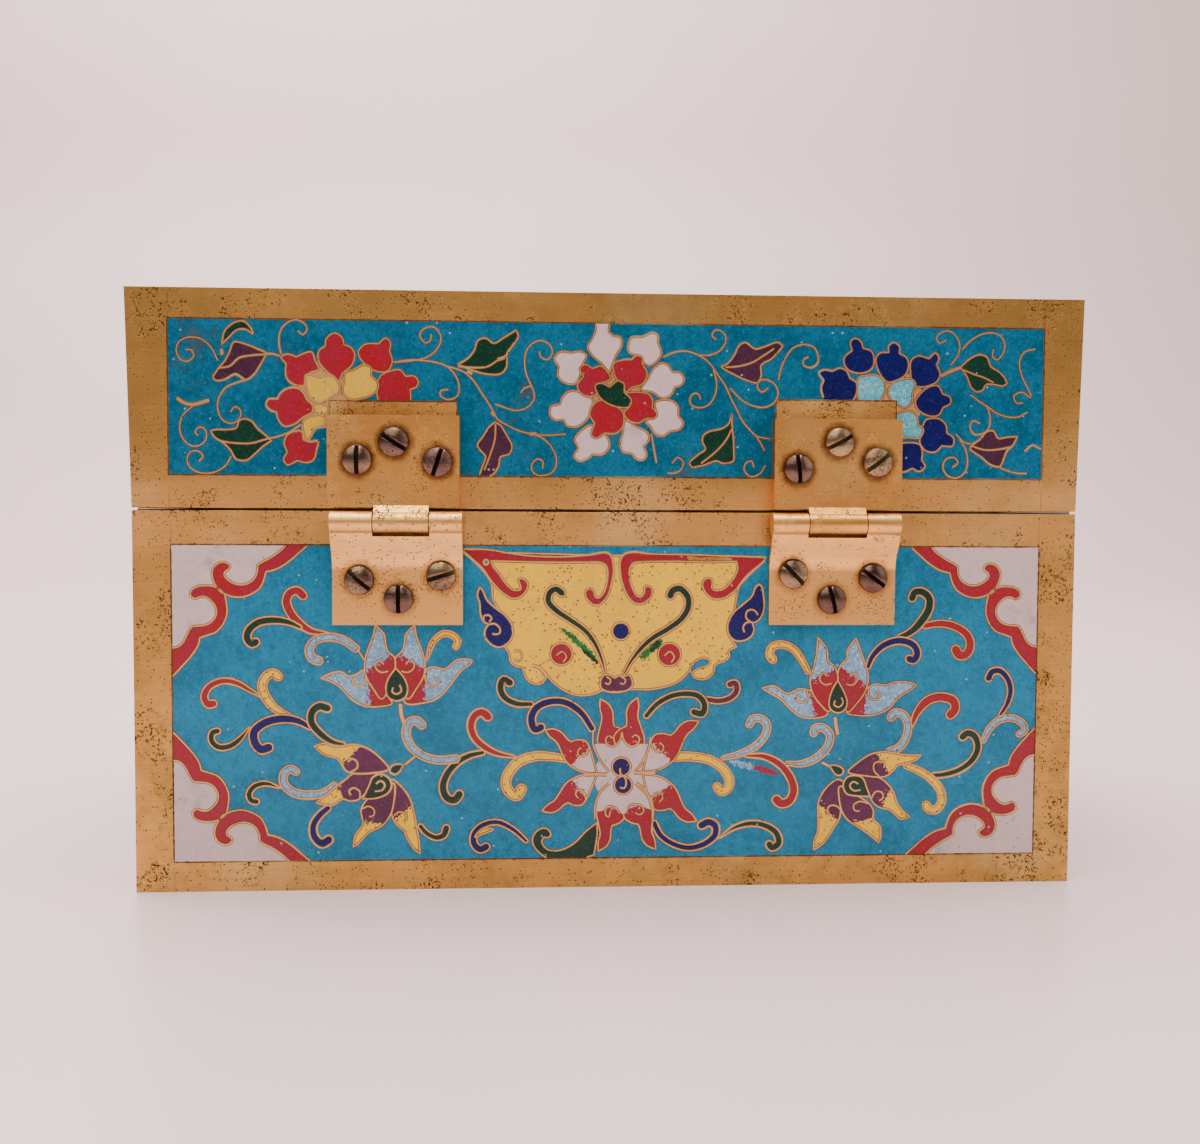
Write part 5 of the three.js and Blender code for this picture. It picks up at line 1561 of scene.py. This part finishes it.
LEAVES = (
    ("plum", path(-54.9, 85.7, -56.3, 86.4, -58.4, 87.2, -59.9, 87.4, -60.6, 85.8, -61.3, 84.5,
        -62.3, 83.3, SHARP, -63.2, 82, SHARP, -62.8, 81.4, -61.5, 81.5, -59.7, 82.4, -58.9, 82,
        -58.1, 81.5, -56.8, 82.4, -56, 83.6, -55.2, 85, SHARP),
     path(-62.3, 83.3, -60.5, 83.7, -59.2, 84.9, -57.6, 85.3, -54.2, 85.6)),
    ("green", path(-54.9, 72.7, -56.3, 73.9, -57.3, 75.1, -58.4, 75.4, -59.2, 75.1, -59.6, 74, -61, 73.7,
        -62.8, 73.7, -63.6, 73.5, SHARP, -63.1, 72.6, -62.1, 71.9, -61.5, 71.5, -60.5, 70.4, -59.7, 69.1,
        -58.1, 68.9, -56.8, 69.9, -55.5, 71.1, -54.2, 72, SHARP),
     path(-62.1, 71.9, -59.9, 71.6, -57.3, 71.6, -55.2, 72.2, -53.1, 72.7, -51.5, 73.3, -49.4, 74.7)),
    ("green", path(-24.9, 84.3, SHARP, -23.4, 85.2, -22.3, 86.5, -21.7, 88.1, -20.5, 88.5, -19.2, 87.7,
        -17.6, 88.6, -15.7, 89.8, SHARP, -15.3, 88.9, -16, 87.6, -17.1, 86.2, -17.1, 84.9, -17.2, 83.9,
        -18.1, 82.9, -20.2, 82.8, -22.3, 83.3),
     path(-24.9, 84, -22.3, 83.8, -20.2, 84, -18.9, 84.8, -17.3, 85.8, -16, 87.8)),
    ("plum", path(-18.9, 75.2, SHARP, -19.7, 74.7, -21, 72.8, -21.8, 71.6, -21.3, 70.7, -20.5, 69.8,
        -21, 68.1, -21.4, 66.6, -20.5, 66.4, -19.2, 67, -18.4, 68.3, -18.1, 69.7, -16.7, 70.2,
        -16.3, 71.5, -17.1, 73.1, -18.1, 74.7),
     path(-18.9, 74.9, -19, 72.6, -19.7, 70.2, -20.7, 67.6)),
    ("plum", path(17.2, 84.4, SHARP, 18.2, 84.9, 19.3, 86.2, 20.1, 87.8, 21.1, 88.3, 22.7, 87.3,
        24.3, 87.7, 26.4, 88.4, 27.2, 87.8, SHARP, 26.4, 86.8, 25.3, 85.7, 23.7, 84.7, 23.7, 83.1,
        23.2, 81.9, 21.6, 82.2, 20.1, 82.8, 17.9, 83.9),
     path(17.9, 84.3, 20.1, 84.5, 22.2, 85.1, 24, 86.2, 25.8, 87.4)),
    ("green", path(19, 77, SHARP, 18.6, 75.4, 17.4, 74.5, 15.3, 74, 14.4, 73.3, 14.3, 72.3, 14.8, 71.2,
        13.5, 70.2, 12.2, 68.9, 12.7, 68.2, SHARP, 14.5, 68.6, 16.6, 69.3, 17.7, 68.9, 19.3, 69.3,
        19.4, 70.7, 19.3, 73.1, 19.1, 74.7),
     path(19, 74.4, 18.2, 72.8, 16.9, 71.2, 15.3, 69.8, 14.1, 68.9)),
    ("green", path(56.4, 84.7, SHARP, 57.7, 86, 59.4, 86.8, 60.7, 86.4, 61.4, 84.9, 62.7, 84.1,
        63.7, 83.1, 64.1, 82.2, SHARP, 63.5, 81.8, 61.9, 82, 60.6, 82, 60.1, 81.1, 59.1, 80.8, 58.2, 81.5,
        57.4, 83.3),
     path(56.9, 84.3, 58.7, 83.6, 60.3, 83.1, 61.9, 82.3)),
    ("plum", path(58.5, 72.2, SHARP, 59.8, 73.1, 60.8, 74.3, 62, 74.5, 62.8, 73.3, 64.3, 73.5, 66, 73.6,
        SHARP, 65.3, 72.2, 64.3, 71.2, 63.7, 69.7, 63.2, 68.7, 61.6, 69, 60.1, 70.2, 58.2, 71.6),
     path(58.5, 72, 60.6, 71.4, 62.9, 71.5, 65.3, 72)),
)
VINES = (
    path(-58.1, 81.5, -59.7, 81, -61.3, 80.2, -62.3, 78.6, -62.5, 77, -61.9, 75.4, -60.7, 74.7,
        -59.7, 74.9, -59, 75.7, -59, 76.8, -59.8, 77.3, -60.5, 76.5),
    path(-62.4, 84.5, -63.4, 86.5, -64.9, 87.8, -66.8, 88.1, -68.4, 87.3, -68.8, 86, -68.2, 84.7,
        -67.1, 84.3, -66.1, 85.2, -66.5, 86.1, -67.4, 86.1),
    path(-52.6, 85.6, -52.9, 87.6, -52.6, 89.4, -51.5, 90.6, -50.2, 91, -48.9, 90.4, -48.5, 89.5,
        -49.2, 88.7, -50, 89.3),
    path(-54.9, 85.7, -53.8, 85.6, -52.8, 85.3),
    path(-66.4, 77.3, -67.8, 76, -68.4, 74.4, -68.1, 72.6, -66.8, 71.2, -65.3, 71.2, -64.3, 72.3,
        -64.4, 73.6, -65.3, 74.1, -66, 73.3, -65.6, 72.7),
    path(-60.5, 69.5, -61.3, 68.1, -63.1, 67, -65.3, 66.9, -66.9, 67.8, -67.3, 69.1, -66.7, 70.2,
        -65.6, 70.3, -64.8, 69.5, -65.5, 68.7),
    path(-35.1, 84.5, -32.1, 84.8, -29.9, 85.3, -28.4, 86.4, -27.6, 87.8, -27.7, 89.1, -28.6, 90.1,
        -30.1, 89.9, -30.9, 88.9, -29.9, 87.6, -29.2, 88.1, -29.1, 89),
    path(-35.1, 84.5, -32.6, 84.9, -29.9, 84.8, -28.1, 84.5, -26.5, 83.9, -25.3, 82.6, -24.7, 81,
        -24.9, 79.4, -26.3, 78.7, -27.6, 79.3, -27.6, 80.1, -26.4, 80.3),
    path(-26.5, 83.9, -25.5, 83.7, -23.9, 83.1, -22.6, 82, -21.3, 80.1, -20.1, 78.3, -19.2, 76.8,
        -18.6, 75.7, -17.1, 74.8, -15.2, 73.9, -13.6, 73.5, -11.3, 73.2, -7.8, 73.4),
    path(-13.6, 73.5, -11.5, 72.8, -9.9, 71.2, -9.2, 69.4, -9.6, 67.6, -11, 66.8, -12.6, 67, -13.2, 68.3,
        -12.3, 69.4, -11.4, 69.1, -11.4, 67.9),
    path(-19, 78.1, -17.6, 77.6, -15.5, 77.1, -13.9, 77.6, -12.8, 78.9, -12.8, 79.9, -13.2, 81, -14, 82.8,
        -14.3, 84.9, -13.9, 86.8, -12.8, 87.9, -11.5, 88.2, -10.2, 87.4, -9.9, 86.2, -10.7, 85.2,
        -11.8, 85.7, -11.9, 86.5),
    path(-13.2, 81, -14.4, 80.6, -14.9, 79.9),
    path(7.9, 85.8, 9.3, 86.5, 10.6, 86.8, 12.2, 86.7, 13.7, 86.1, 15.1, 85.2, 16, 84.1, 16.9, 82.8,
        17.9, 81.4, 18.7, 79.7, 19.8, 77.6, 20.8, 75.7, 22.2, 74.1, 23.2, 73.3, 25.3, 72.9),
    path(23, 73.4, 23.7, 72.3, 24.4, 71),
    path(24.5, 68.6, 23.7, 67.3, 22.2, 66.8, 21.1, 67.9, 21.4, 69, 22.3, 69.3, 22.7, 68.3),
    path(13.7, 86.2, 15.3, 86.2, 16.9, 86.9, 17.9, 88.3, 17.8, 89.5, 16.9, 90.2, 16, 90.1, 15.7, 89.3,
        16.4, 88.7),
    path(16, 83.9, 16.5, 81.8, 16.2, 79.7, 15.1, 78.2, 13.7, 77.8, 12.4, 78.3, 12.2, 79.3, 12.9, 80.1,
        13.7, 79.9, 13.9, 79.1),
    path(23.3, 82.3, 24.5, 82.4, 25.8, 81.8, 26.5, 80.4, 26, 78.9, 24.5, 78, 22.4, 78.2, 20.6, 79.1,
        18.7, 81),
    path(23.1, 81.9, 23.2, 81, 23.9, 80.4, 24.9, 81.1),
    path(26.5, 82.4, 27, 84.4, 27.8, 86.2, 29, 87.6, 30.6, 88.1, 32.2, 87.7, 32.9, 86.5, 32.9, 85.2,
        31.9, 84.4, 30.6, 84.8, 30.6, 85.7, 31.4, 86.1),
    path(6, 73.6, 6.4, 71.5, 6.9, 68.9),
    path(9.4, 68.9, 10.3, 69.8, 11.2, 69.1, 10.8, 67.8, 9.8, 67.3, 8.7, 67.3),
    path(54.8, 85.1, 55.8, 86.5, 56.2, 88.1, 55.7, 89.5, 54.5, 90.5, 53.1, 90.3, 52.3, 89.4, 52.8, 88.6,
        54, 89.1),
    path(56.6, 87.6, 57.9, 89, 59.8, 90.1, 61.9, 90.3, 63.2, 89.5, 63.6, 88.1, 63.1, 86.6, 62.3, 86,
        61.6, 86.6, 61.8, 87.7),
    path(58.1, 80.3, 59.8, 79.1, 61.1, 78.3, 62.4, 77.4, 64.3, 76.8, 66.1, 76.8, 67.6, 77.6),
    path(60.8, 78.6, 61.4, 76.8, 61.2, 74.9, 60.1, 74, 58.7, 74, 58.1, 75.2, 58.6, 76.1, 59.8, 75.7),
    path(55.8, 73.9, 57.2, 72.6, 58.5, 72.4, 59.8, 73.1),
    path(56.4, 73.1, 57.4, 71.5, 57.8, 69.4, 57.4, 67.8, 56.1, 66.8, 54.5, 67.2, 53.7, 68.6, 54.3, 69.9,
        55.6, 70.1, 56.2, 69.3, 55.3, 68.5),
    path(68.7, 87.8, 66.9, 87.3, 66.1, 85.7, 66.6, 83.3, 67.7, 81.2, 68.2, 80.2),
    path(68.1, 79.9, 66.6, 80.8, 65.3, 80.2, 65.7, 79.1, 66.8, 79.1),
    path(67.3, 71.2, 68.5, 72.2, 70, 71.6),
    path(63.2, 68.5, 65.6, 67.7, 67.7, 67.6),
)
THICK_VINES = (
    path(-63.8, 78.3, -66.3, 77.6, -67.6, 77.8, -68.8, 78.6), path(53.1, 83.3, 54.8, 84.1, 56.4, 84.7),
    path(-61.9, 86.3, -61.7, 85.8, -61.9, 85.4), path(-19.5, 76.9, -19.1, 76.2),
    path(-13.5, 73.4, -12.4, 73.4), path(-23.4, 83.2, -22.6, 82.9), path(-18.6, 85.1, -17.5, 85.5),
)


def moved(points, by=(0, 0), about=None, scale=1.0, turn=0.0):
    """Points shifted, or first scaled and turned about a spot."""
    pivot = Vector(about or (0, 0))
    swing = Matrix.Rotation(math.radians(turn), 2)
    made = []
    for point in points:
        spot = swing @ ((Vector(point[:2]) - pivot) * scale) + pivot + Vector(by)
        made.append((spot.x, spot.y) + tuple(point[2:]))
    return made


FLOWER_GAUGE = 0.85  # the lid's flowers have finer wires
BED_POINTS = 30
BED_REACH = (4.6, 5.5)  # how far the solder round a flower's heart runs


def lay(design, cells, by=(0, 0), about=None, scale=1.0, turn=0.0, swap=None):
    """Lays a flower's cells on a design, shifted or turned, some in another colour."""
    inner = [point for glaze, points in cells if glaze != cells[0][0] for point in points]
    spots = [Vector(spot[:2]) for spot in moved(inner, by, about, scale, turn)]
    heart = sum(spots, Vector((0, 0))) / len(spots)
    design.gauge = FLOWER_GAUGE
    design.dice.seed(len(cells))
    bed = [heart + Matrix.Rotation(k * 2 * math.pi / BED_POINTS, 2)
           @ Vector((design.dice.uniform(*BED_REACH), 0))
           for k in range(BED_POINTS)]  # solder that fills the gaps between the petals' feet
    design.cell("dull_wire", bed, False)
    for glaze, points in cells:
        outline = cusped(moved(points, by, about, scale, turn))
        design.cell((swap or {}).get(glaze, glaze), outline)


def leaves_and_vines(design, low=-99, high=99, **change):
    for glaze, outline, rib in LEAVES:
        if low < outline[0][0] < high:
            design.cell(glaze, moved(outline, **change))
            design.wire(moved(rib, **change))
    for vine in VINES:
        if low < vine[0][0] < high:
            design.wire(moved(vine, **change), 0.85)
    for vine in THICK_VINES:
        if low < vine[0][0] < high:
            design.wire(moved(vine, **change), 2.2)


def lid_side(design):
    design.cell("green", path(-61.8, 87, SHARP, -61.3, 89.1, -59.9, 90.4, -58.4, 90.7, -57.3, 89.7,
        -56.9, 88.7, -58, 89.4, -59.4, 89.3, -60.6, 88.2))
    leaves_and_vines(design)
    lay(design, WHITE_FLOWER)


def draw_lid_back(design):
    """Back of the lid: three trefoil-petalled flowers on scrolling wires, two under the hinges."""
    lid_side(design)
    lay(design, RED_FLOWER)
    lay(design, BLUE_FLOWER)


def draw_lid_front(design):
    """Front of the lid: as the back, with its side flowers whole."""
    lid_side(design)
    middle = (.2, 79.9)
    lay(design, WHITE_FLOWER, (-43.6, -.6), middle, 1, 12,
        {"white": "red", "red": "lemon", "green": "green"})
    lay(design, WHITE_FLOWER, (43.8, -.8), middle, 1, -14, {"white": "blue", "red": "aqua",
                                                            "green": "lemon"})


def draw_lid_end(design):
    """End of the lid: one white flower between leaves."""
    leaves_and_vines(design, -31, 31)
    lay(design, WHITE_FLOWER)
    for side in (-1, 1):
        leaf = LEAVES[0] if side < 0 else LEAVES[6]
        by = (side * -22.5, -5.5)
        design.cell("plum" if side < 0 else "green", moved(leaf[1], by))
        design.wire(moved(leaf[2], by))
        vine = VINES[1] if side < 0 else VINES[23]
        design.wire(moved(vine, (side * -24, -12)))
        design.wire(moved(vine, (side * -23, -2)))


def draw_body_end(design):
    """End of the body: one lotus between shoots, in red cloud borders."""
    wide = HALF_DEPTH - BODY_STILE
    spandrels(design, wide, *BODY_WINDOW, 0.85)
    rise = 11.6
    for glaze, widths, spine in LEFT_TENDRILS + RIGHT_TENDRILS:
        if abs(spine[0][0]) < 29 and spine[0][1] < 32:
            tendril(design, glaze, widths, moved(spine, (-1.2, rise)))
    design.origin = Vector((-1.2, rise))
    stems_below(design)
    central_lotus(design)
    design.origin = Vector((0, 0))


def draw_lid_top(design):
    """Top of the lid: a lotus with four flowers round it, in red cloud borders, plainer."""
    wide = HALF_WIDTH + LID_LEAN - TOP_FRAME
    deep = HALF_DEPTH - TOP_FRAME
    spandrels(design, wide, -deep, deep, 1.25)
    for turn in (0, 180):
        design.turn = Matrix.Rotation(math.radians(turn), 2)
        design.origin = design.turn @ Vector((-1.5, -18.4))
        for glaze, widths, spine in LEFT_TENDRILS + RIGHT_TENDRILS:
            if spine[0][1] > 17.5 or abs(spine[0][0]) > 28:
                tendril(design, glaze, widths, spine)
        design.origin = design.turn @ Vector((-1.5, -10))
        upper_flowers(design)
    design.turn = Matrix.Identity(2)
    design.origin = Vector((-1.5, -18.4))
    central_lotus(design)
    design.origin = Vector((0, 0))


def window(low, high, foot, top, lands=(), lands_up=False):
    """A window's outline, going round it, with the hinge lands cut out of its foot or its top."""
    notches = sorted(lands)
    if lands_up:
        outline = [(low, foot), (high, foot), (high, top)]
        for x0, x1, edge in reversed(notches):
            outline += [(x1, top), (x1, edge), (x0, edge), (x0, top)]
        return outline + [(low, top)]
    outline = [(low, foot)]
    for x0, x1, edge in notches:
        outline += [(x0, foot), (x0, edge), (x1, edge), (x1, foot)]
    return outline + [(high, foot), (high, top), (low, top)]


def seen_from_back(lands):
    return [(-x1, -x0, edge) for x0, x1, edge in lands.values()]


def inlay(label, body, face, design):
    plate = build_enamel("enamel_" + label, face, design)
    dress(plate, None, body, "enamel", label.replace("_", "_enamel_", 1))
    if design.wires:
        wires = build_wires("wires_" + label, face, design)
        dress(wires, None, body, "brass")


class BOX_OT_body_enamel(Operator):
    """Enamel and wires of the body's four sides"""
    bl_idname = "box.body_enamel"
    bl_label = "Body enamel"

    def execute(self, context):
        foot, top = BODY_WINDOW
        wide = HALF_WIDTH - BODY_STILE
        deep = HALF_DEPTH - BODY_STILE
        lands = seen_from_back(BODY_LANDS)
        back = Design("turquoise", window(-wide, wide, foot, top, lands, True))
        draw_body_long(back)
        inlay("body_back", "base", Face("back"), back)
        front = Design("turquoise", window(-wide, wide, foot, top))
        draw_body_long(front)
        inlay("body_front", "base", Face("front"), front)
        for side in ("left", "right"):
            end = Design("turquoise", window(-deep, deep, foot, top))
            draw_body_end(end)
            inlay("body_" + side, "base", Face(side), end)
        return {"FINISHED"}


class BOX_OT_lid_enamel(Operator):
    """Enamel and wires of the lid's four sides and its top"""
    bl_idname = "box.lid_enamel"
    bl_label = "Lid enamel"

    def execute(self, context):
        foot, top = LID_WINDOW
        wide = HALF_WIDTH - LID_STILE
        deep = HALF_DEPTH - LID_STILE
        lands = seen_from_back(LID_LANDS)
        # The lid's sides get the darker copy of the turquoise as their ground: painted shade.
        back = Design("lagoon", window(-wide, wide, foot, top, lands))
        draw_lid_back(back)
        inlay("lid_back", "lid", Face("back"), back)
        front = Design("lagoon", window(-wide, wide, foot, top))
        draw_lid_front(front)
        inlay("lid_front", "lid", Face("front"), front)
        for side in ("left", "right"):
            end = Design("lagoon", window(-deep, deep, foot, top))
            draw_lid_end(end)
            inlay("lid_" + side, "lid", Face(side, LID_LEAN), end)
        wide = HALF_WIDTH + LID_LEAN - TOP_FRAME
        deep = HALF_DEPTH - TOP_FRAME
        cover = Design("turquoise", window(-wide, wide, -deep, deep))
        draw_lid_top(cover)
        inlay("lid_top", "lid", Face("top"), cover)
        return {"FINISHED"}


# ---- hinges and screws ------------------------------------------------------------------------
def merged_copy(node, name):
    """A copy of a node of the frame, its loose triangles merged into clean faces."""
    deselect_all()
    piece = bpy.data.objects.new(name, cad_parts[node].data.copy())
    piece.data.name = name
    bpy.context.scene.collection.objects.link(piece)
    if "custom_normal" in piece.data.attributes:
        piece.data.attributes.remove(piece.data.attributes["custom_normal"])
    begin_edit(piece)
    bpy.ops.mesh.select_all(action="SELECT")
    bpy.ops.mesh.remove_doubles(threshold=2e-6)
    bpy.ops.mesh.dissolve_limited(angle_limit=math.radians(0.6))
    end_edit()
    return piece


PIN_ROUND = 0.06 * MM
SCREW_ROUND = 0.07 * MM
SLOT_REACH = 2.25  # from the middle of a screw's head, in millimetres


def hinge_piece(node, body, finish, slot, radius, segments=2, angle=32):
    piece = merged_copy(node, node + "_shown")
    add_modifier(piece, "BEVEL", width=radius, segments=segments, limit_method="ANGLE",
                 angle_limit=math.radians(angle), use_clamp_overlap=True, loop_slide=True)
    smooth(piece, 32)
    weigh_normals(piece)
    dress(piece, material(finish), body, slot, node)
    return piece


class BOX_OT_hinges(Operator):
    """Two butt hinges: thick upper leaves on the lid, bent lower leaves on the body, and pins"""
    bl_idname = "box.hinges"
    bl_label = "Hinges"

    def execute(self, context):
        radius = sizes().hinge_round
        for side in HINGE_SIDES:
            hinge_piece(side + "_hinge_upper_leaf", "lid", "hinge_gold", "hinge_brass", radius)
            hinge_piece(side + "_hinge_lower_leaf", "base", "hinge_brass", "hinge_brass", radius)
            hinge_piece(side + "_hinge_pin", "base", "hinge_brass", "hinge_brass", PIN_ROUND, 1)
        return {"FINISHED"}


class BOX_OT_screws(Operator):
    """Twelve round-headed slotted screws, six to each hinge, their slots near-black as painted shade"""
    bl_idname = "box.screws"
    bl_label = "Screws"

    def execute(self, context):
        for side in HINGE_SIDES:
            for leaf, body in (("upper", "lid"), ("lower", "base")):
                for count in (1, 2, 3):
                    name = f"{side}_hinge_{leaf}_screw_{count}"
                    screw = hinge_piece(name, body, "screw_steel", "screw_steel", SCREW_ROUND, 2, 40)
                    low, high = (Vector(corner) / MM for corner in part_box(name))
                    middle = (low + high) / 2

                    def in_slot(spot, normal):
                        out = math.hypot(spot.x - middle.x, spot.z - middle.z)
                        floor = normal.y > 0.9 and spot.y < high.y - 0.5
                        return out < SLOT_REACH and (abs(normal.y) < 0.3 or floor)

                    # The slot's walls and floor get a near-black finish: painted shade in the deep slot.
                    give_faces(screw, "slot_shade", in_slot)
        return {"FINISHED"}


# ---- stage ------------------------------------------------------------------------------------
CAMERA_PLACE = (0.01432, 0.25968, 0.06148)
CAMERA_YAW = -0.0584  # turned about the upright
CAMERA_PITCH = -0.0484
CAMERA_ROLL = 0.0047
CAMERA_LENS = 39.0
TABLE_SIZE = (5.0, 3.0, 1)  # in metres
BACK_EDGE = 800  # how far the table's far edge is pulled out, in millimetres
BEND_STEPS = 12
BEND_STEP = 60  # length of each step of the bend between table and wall
WALL_HEIGHT = 2.0  # in metres


def plain_finish(name, tone, roughness):
    """Matt paper-like finish for the table and wall, with a faint unevenness."""
    made = bpy.data.materials.new(name)
    made.use_nodes = True
    w = Wiring(made.node_tree)
    body = made.node_tree.nodes["Principled BSDF"]
    veil = w.noise(w.place(), 9, 3, 0.5)
    shade = w.mix(veil, rgba(tone, 0.96), rgba(tone, 1.02))
    made.node_tree.links.new(shade, body.inputs["Base Color"])
    body.inputs["Roughness"].default_value = roughness
    return made


def add_light(name, place, aim, size, power, tint):
    deselect_all()
    bpy.ops.object.light_add(type="AREA", location=place)
    lamp = bpy.context.object
    lamp.name = name
    lamp.data.shape = "RECTANGLE"
    lamp.data.size, lamp.data.size_y = size
    lamp.data.energy = power
    lamp.data.color = tint
    way = Vector(aim) - Vector(place)
    lamp.rotation_euler = way.to_track_quat("-Z", "Y").to_euler()
    return lamp


class BOX_OT_stage(Operator):
    """Pale table that sweeps up into a wall, soft light and the camera"""
    bl_idname = "box.stage"
    bl_label = "Stage"

    def execute(self, context):
        deselect_all()
        bpy.ops.mesh.primitive_plane_add(size=1, location=(0, 0, 0))
        table = context.object
        table.name = table.data.name = "table_and_wall"
        table.scale = TABLE_SIZE
        bpy.ops.object.transform_apply(location=True, rotation=True, scale=True)
        begin_edit(table)
        select_points(table, lambda co: co.y < 0)
        shift((0, BACK_EDGE, 0))
        rise = 0
        for step in range(BEND_STEPS):
            turn = (step + 0.5) / BEND_STEPS * math.pi / 2
            select_edges(table, lambda one, other, edge: one.z > rise - 0.5 and other.z > rise - 0.5
                         and edge.is_boundary and abs(one.y - other.y) < 1 and one.y < 0)
            run = BEND_STEP * math.cos(turn)
            climb = BEND_STEP * math.sin(turn)
            bpy.ops.mesh.extrude_region_move(TRANSFORM_OT_translate={
                "value": (0, -run * MM, climb * MM)})
            rise += climb
        bpy.ops.mesh.extrude_region_move(TRANSFORM_OT_translate={"value": (0, 0, WALL_HEIGHT)})
        end_edit()
        smooth(table, 40)
        table.data.materials.append(plain_finish("table_finish", tuple(colours().table), 0.28))

        world = bpy.data.worlds.new("soft_room")
        world.use_nodes = True
        sky = world.node_tree.nodes["Background"]
        sky.inputs["Color"].default_value = (0.95, 0.80, 0.70, 1)
        sky.inputs["Strength"].default_value = 0.22
        context.scene.world = world
        add_light("window_light", (0.5, 1.0, 1.3), (0, 0, 0.04), (1.4, 1.4), 13, (1, 0.95, 0.92))
        add_light("top_light", (0.15, -0.25, 1.1), (0.05, -0.35, 0), (1.6, 1.2), 40, (1, 0.93, 0.94))
        add_light("side_light", (-1.1, 0.7, 0.7), (0, 0, 0.05), (1.0, 1.2), 5, (1, 0.95, 0.93))

        bpy.ops.object.camera_add(location=CAMERA_PLACE)
        camera = context.object
        camera.name = "camera"
        camera.data.lens = CAMERA_LENS
        camera.data.sensor_width = 36.0
        camera.data.clip_start = 0.01
        yaw = Matrix.Rotation(CAMERA_YAW, 3, "Y")
        pitch = Matrix.Rotation(CAMERA_PITCH, 3, "X")
        roll = Matrix.Rotation(CAMERA_ROLL, 3, "Z")
        panel_axes = Matrix(((-1, 0, 0), (0, 0, 1), (0, 1, 0)))  # across, up, out to X, Y, Z
        camera.rotation_euler = (panel_axes @ yaw @ pitch @ roll).to_euler()
        context.scene.camera = camera
        return {"FINISHED"}


# ---- the add-on -------------------------------------------------------------------------------
class BOX_PT_panel(Panel):
    """Sizes, colours and the pieces in the order that they are made"""
    bl_idname = "BOX_PT_panel"
    bl_label = "Cloisonne box"
    bl_space_type = "VIEW_3D"
    bl_region_type = "UI"
    bl_category = "Box"

    def draw(self, context):
        for title, values in (("Sizes", context.scene.box_sizes),
                              ("Colours", context.scene.box_colours)):
            part = self.layout.box()
            part.label(text=title)
            for name in values.bl_rna.properties.keys():
                if name not in ("rna_type", "name"):
                    part.prop(values, name)
        pieces = self.layout.column(align=True)
        for maker in MAKERS:
            pieces.operator(maker.bl_idname)


MAKERS = (BOX_OT_body_frame, BOX_OT_lid_frame, BOX_OT_body_enamel, BOX_OT_lid_enamel,
          BOX_OT_hinges, BOX_OT_screws, BOX_OT_stage)
CLASSES = (BOX_PG_sizes, BOX_PG_colours) + MAKERS + (BOX_PT_panel,)


def register():
    for made in CLASSES:
        bpy.utils.register_class(made)
    bpy.types.Scene.box_sizes = PointerProperty(type=BOX_PG_sizes)
    bpy.types.Scene.box_colours = PointerProperty(type=BOX_PG_colours)


def unregister():
    del bpy.types.Scene.box_colours
    del bpy.types.Scene.box_sizes
    for made in reversed(CLASSES):
        bpy.utils.unregister_class(made)


def main():
    register()
    bpy.ops.box.body_frame()
    bpy.ops.box.lid_frame()
    bpy.ops.box.body_enamel()
    bpy.ops.box.lid_enamel()
    bpy.ops.box.hinges()
    bpy.ops.box.screws()
    bpy.ops.box.stage()
    deselect_all()


if __name__ == "__main__":
    main()
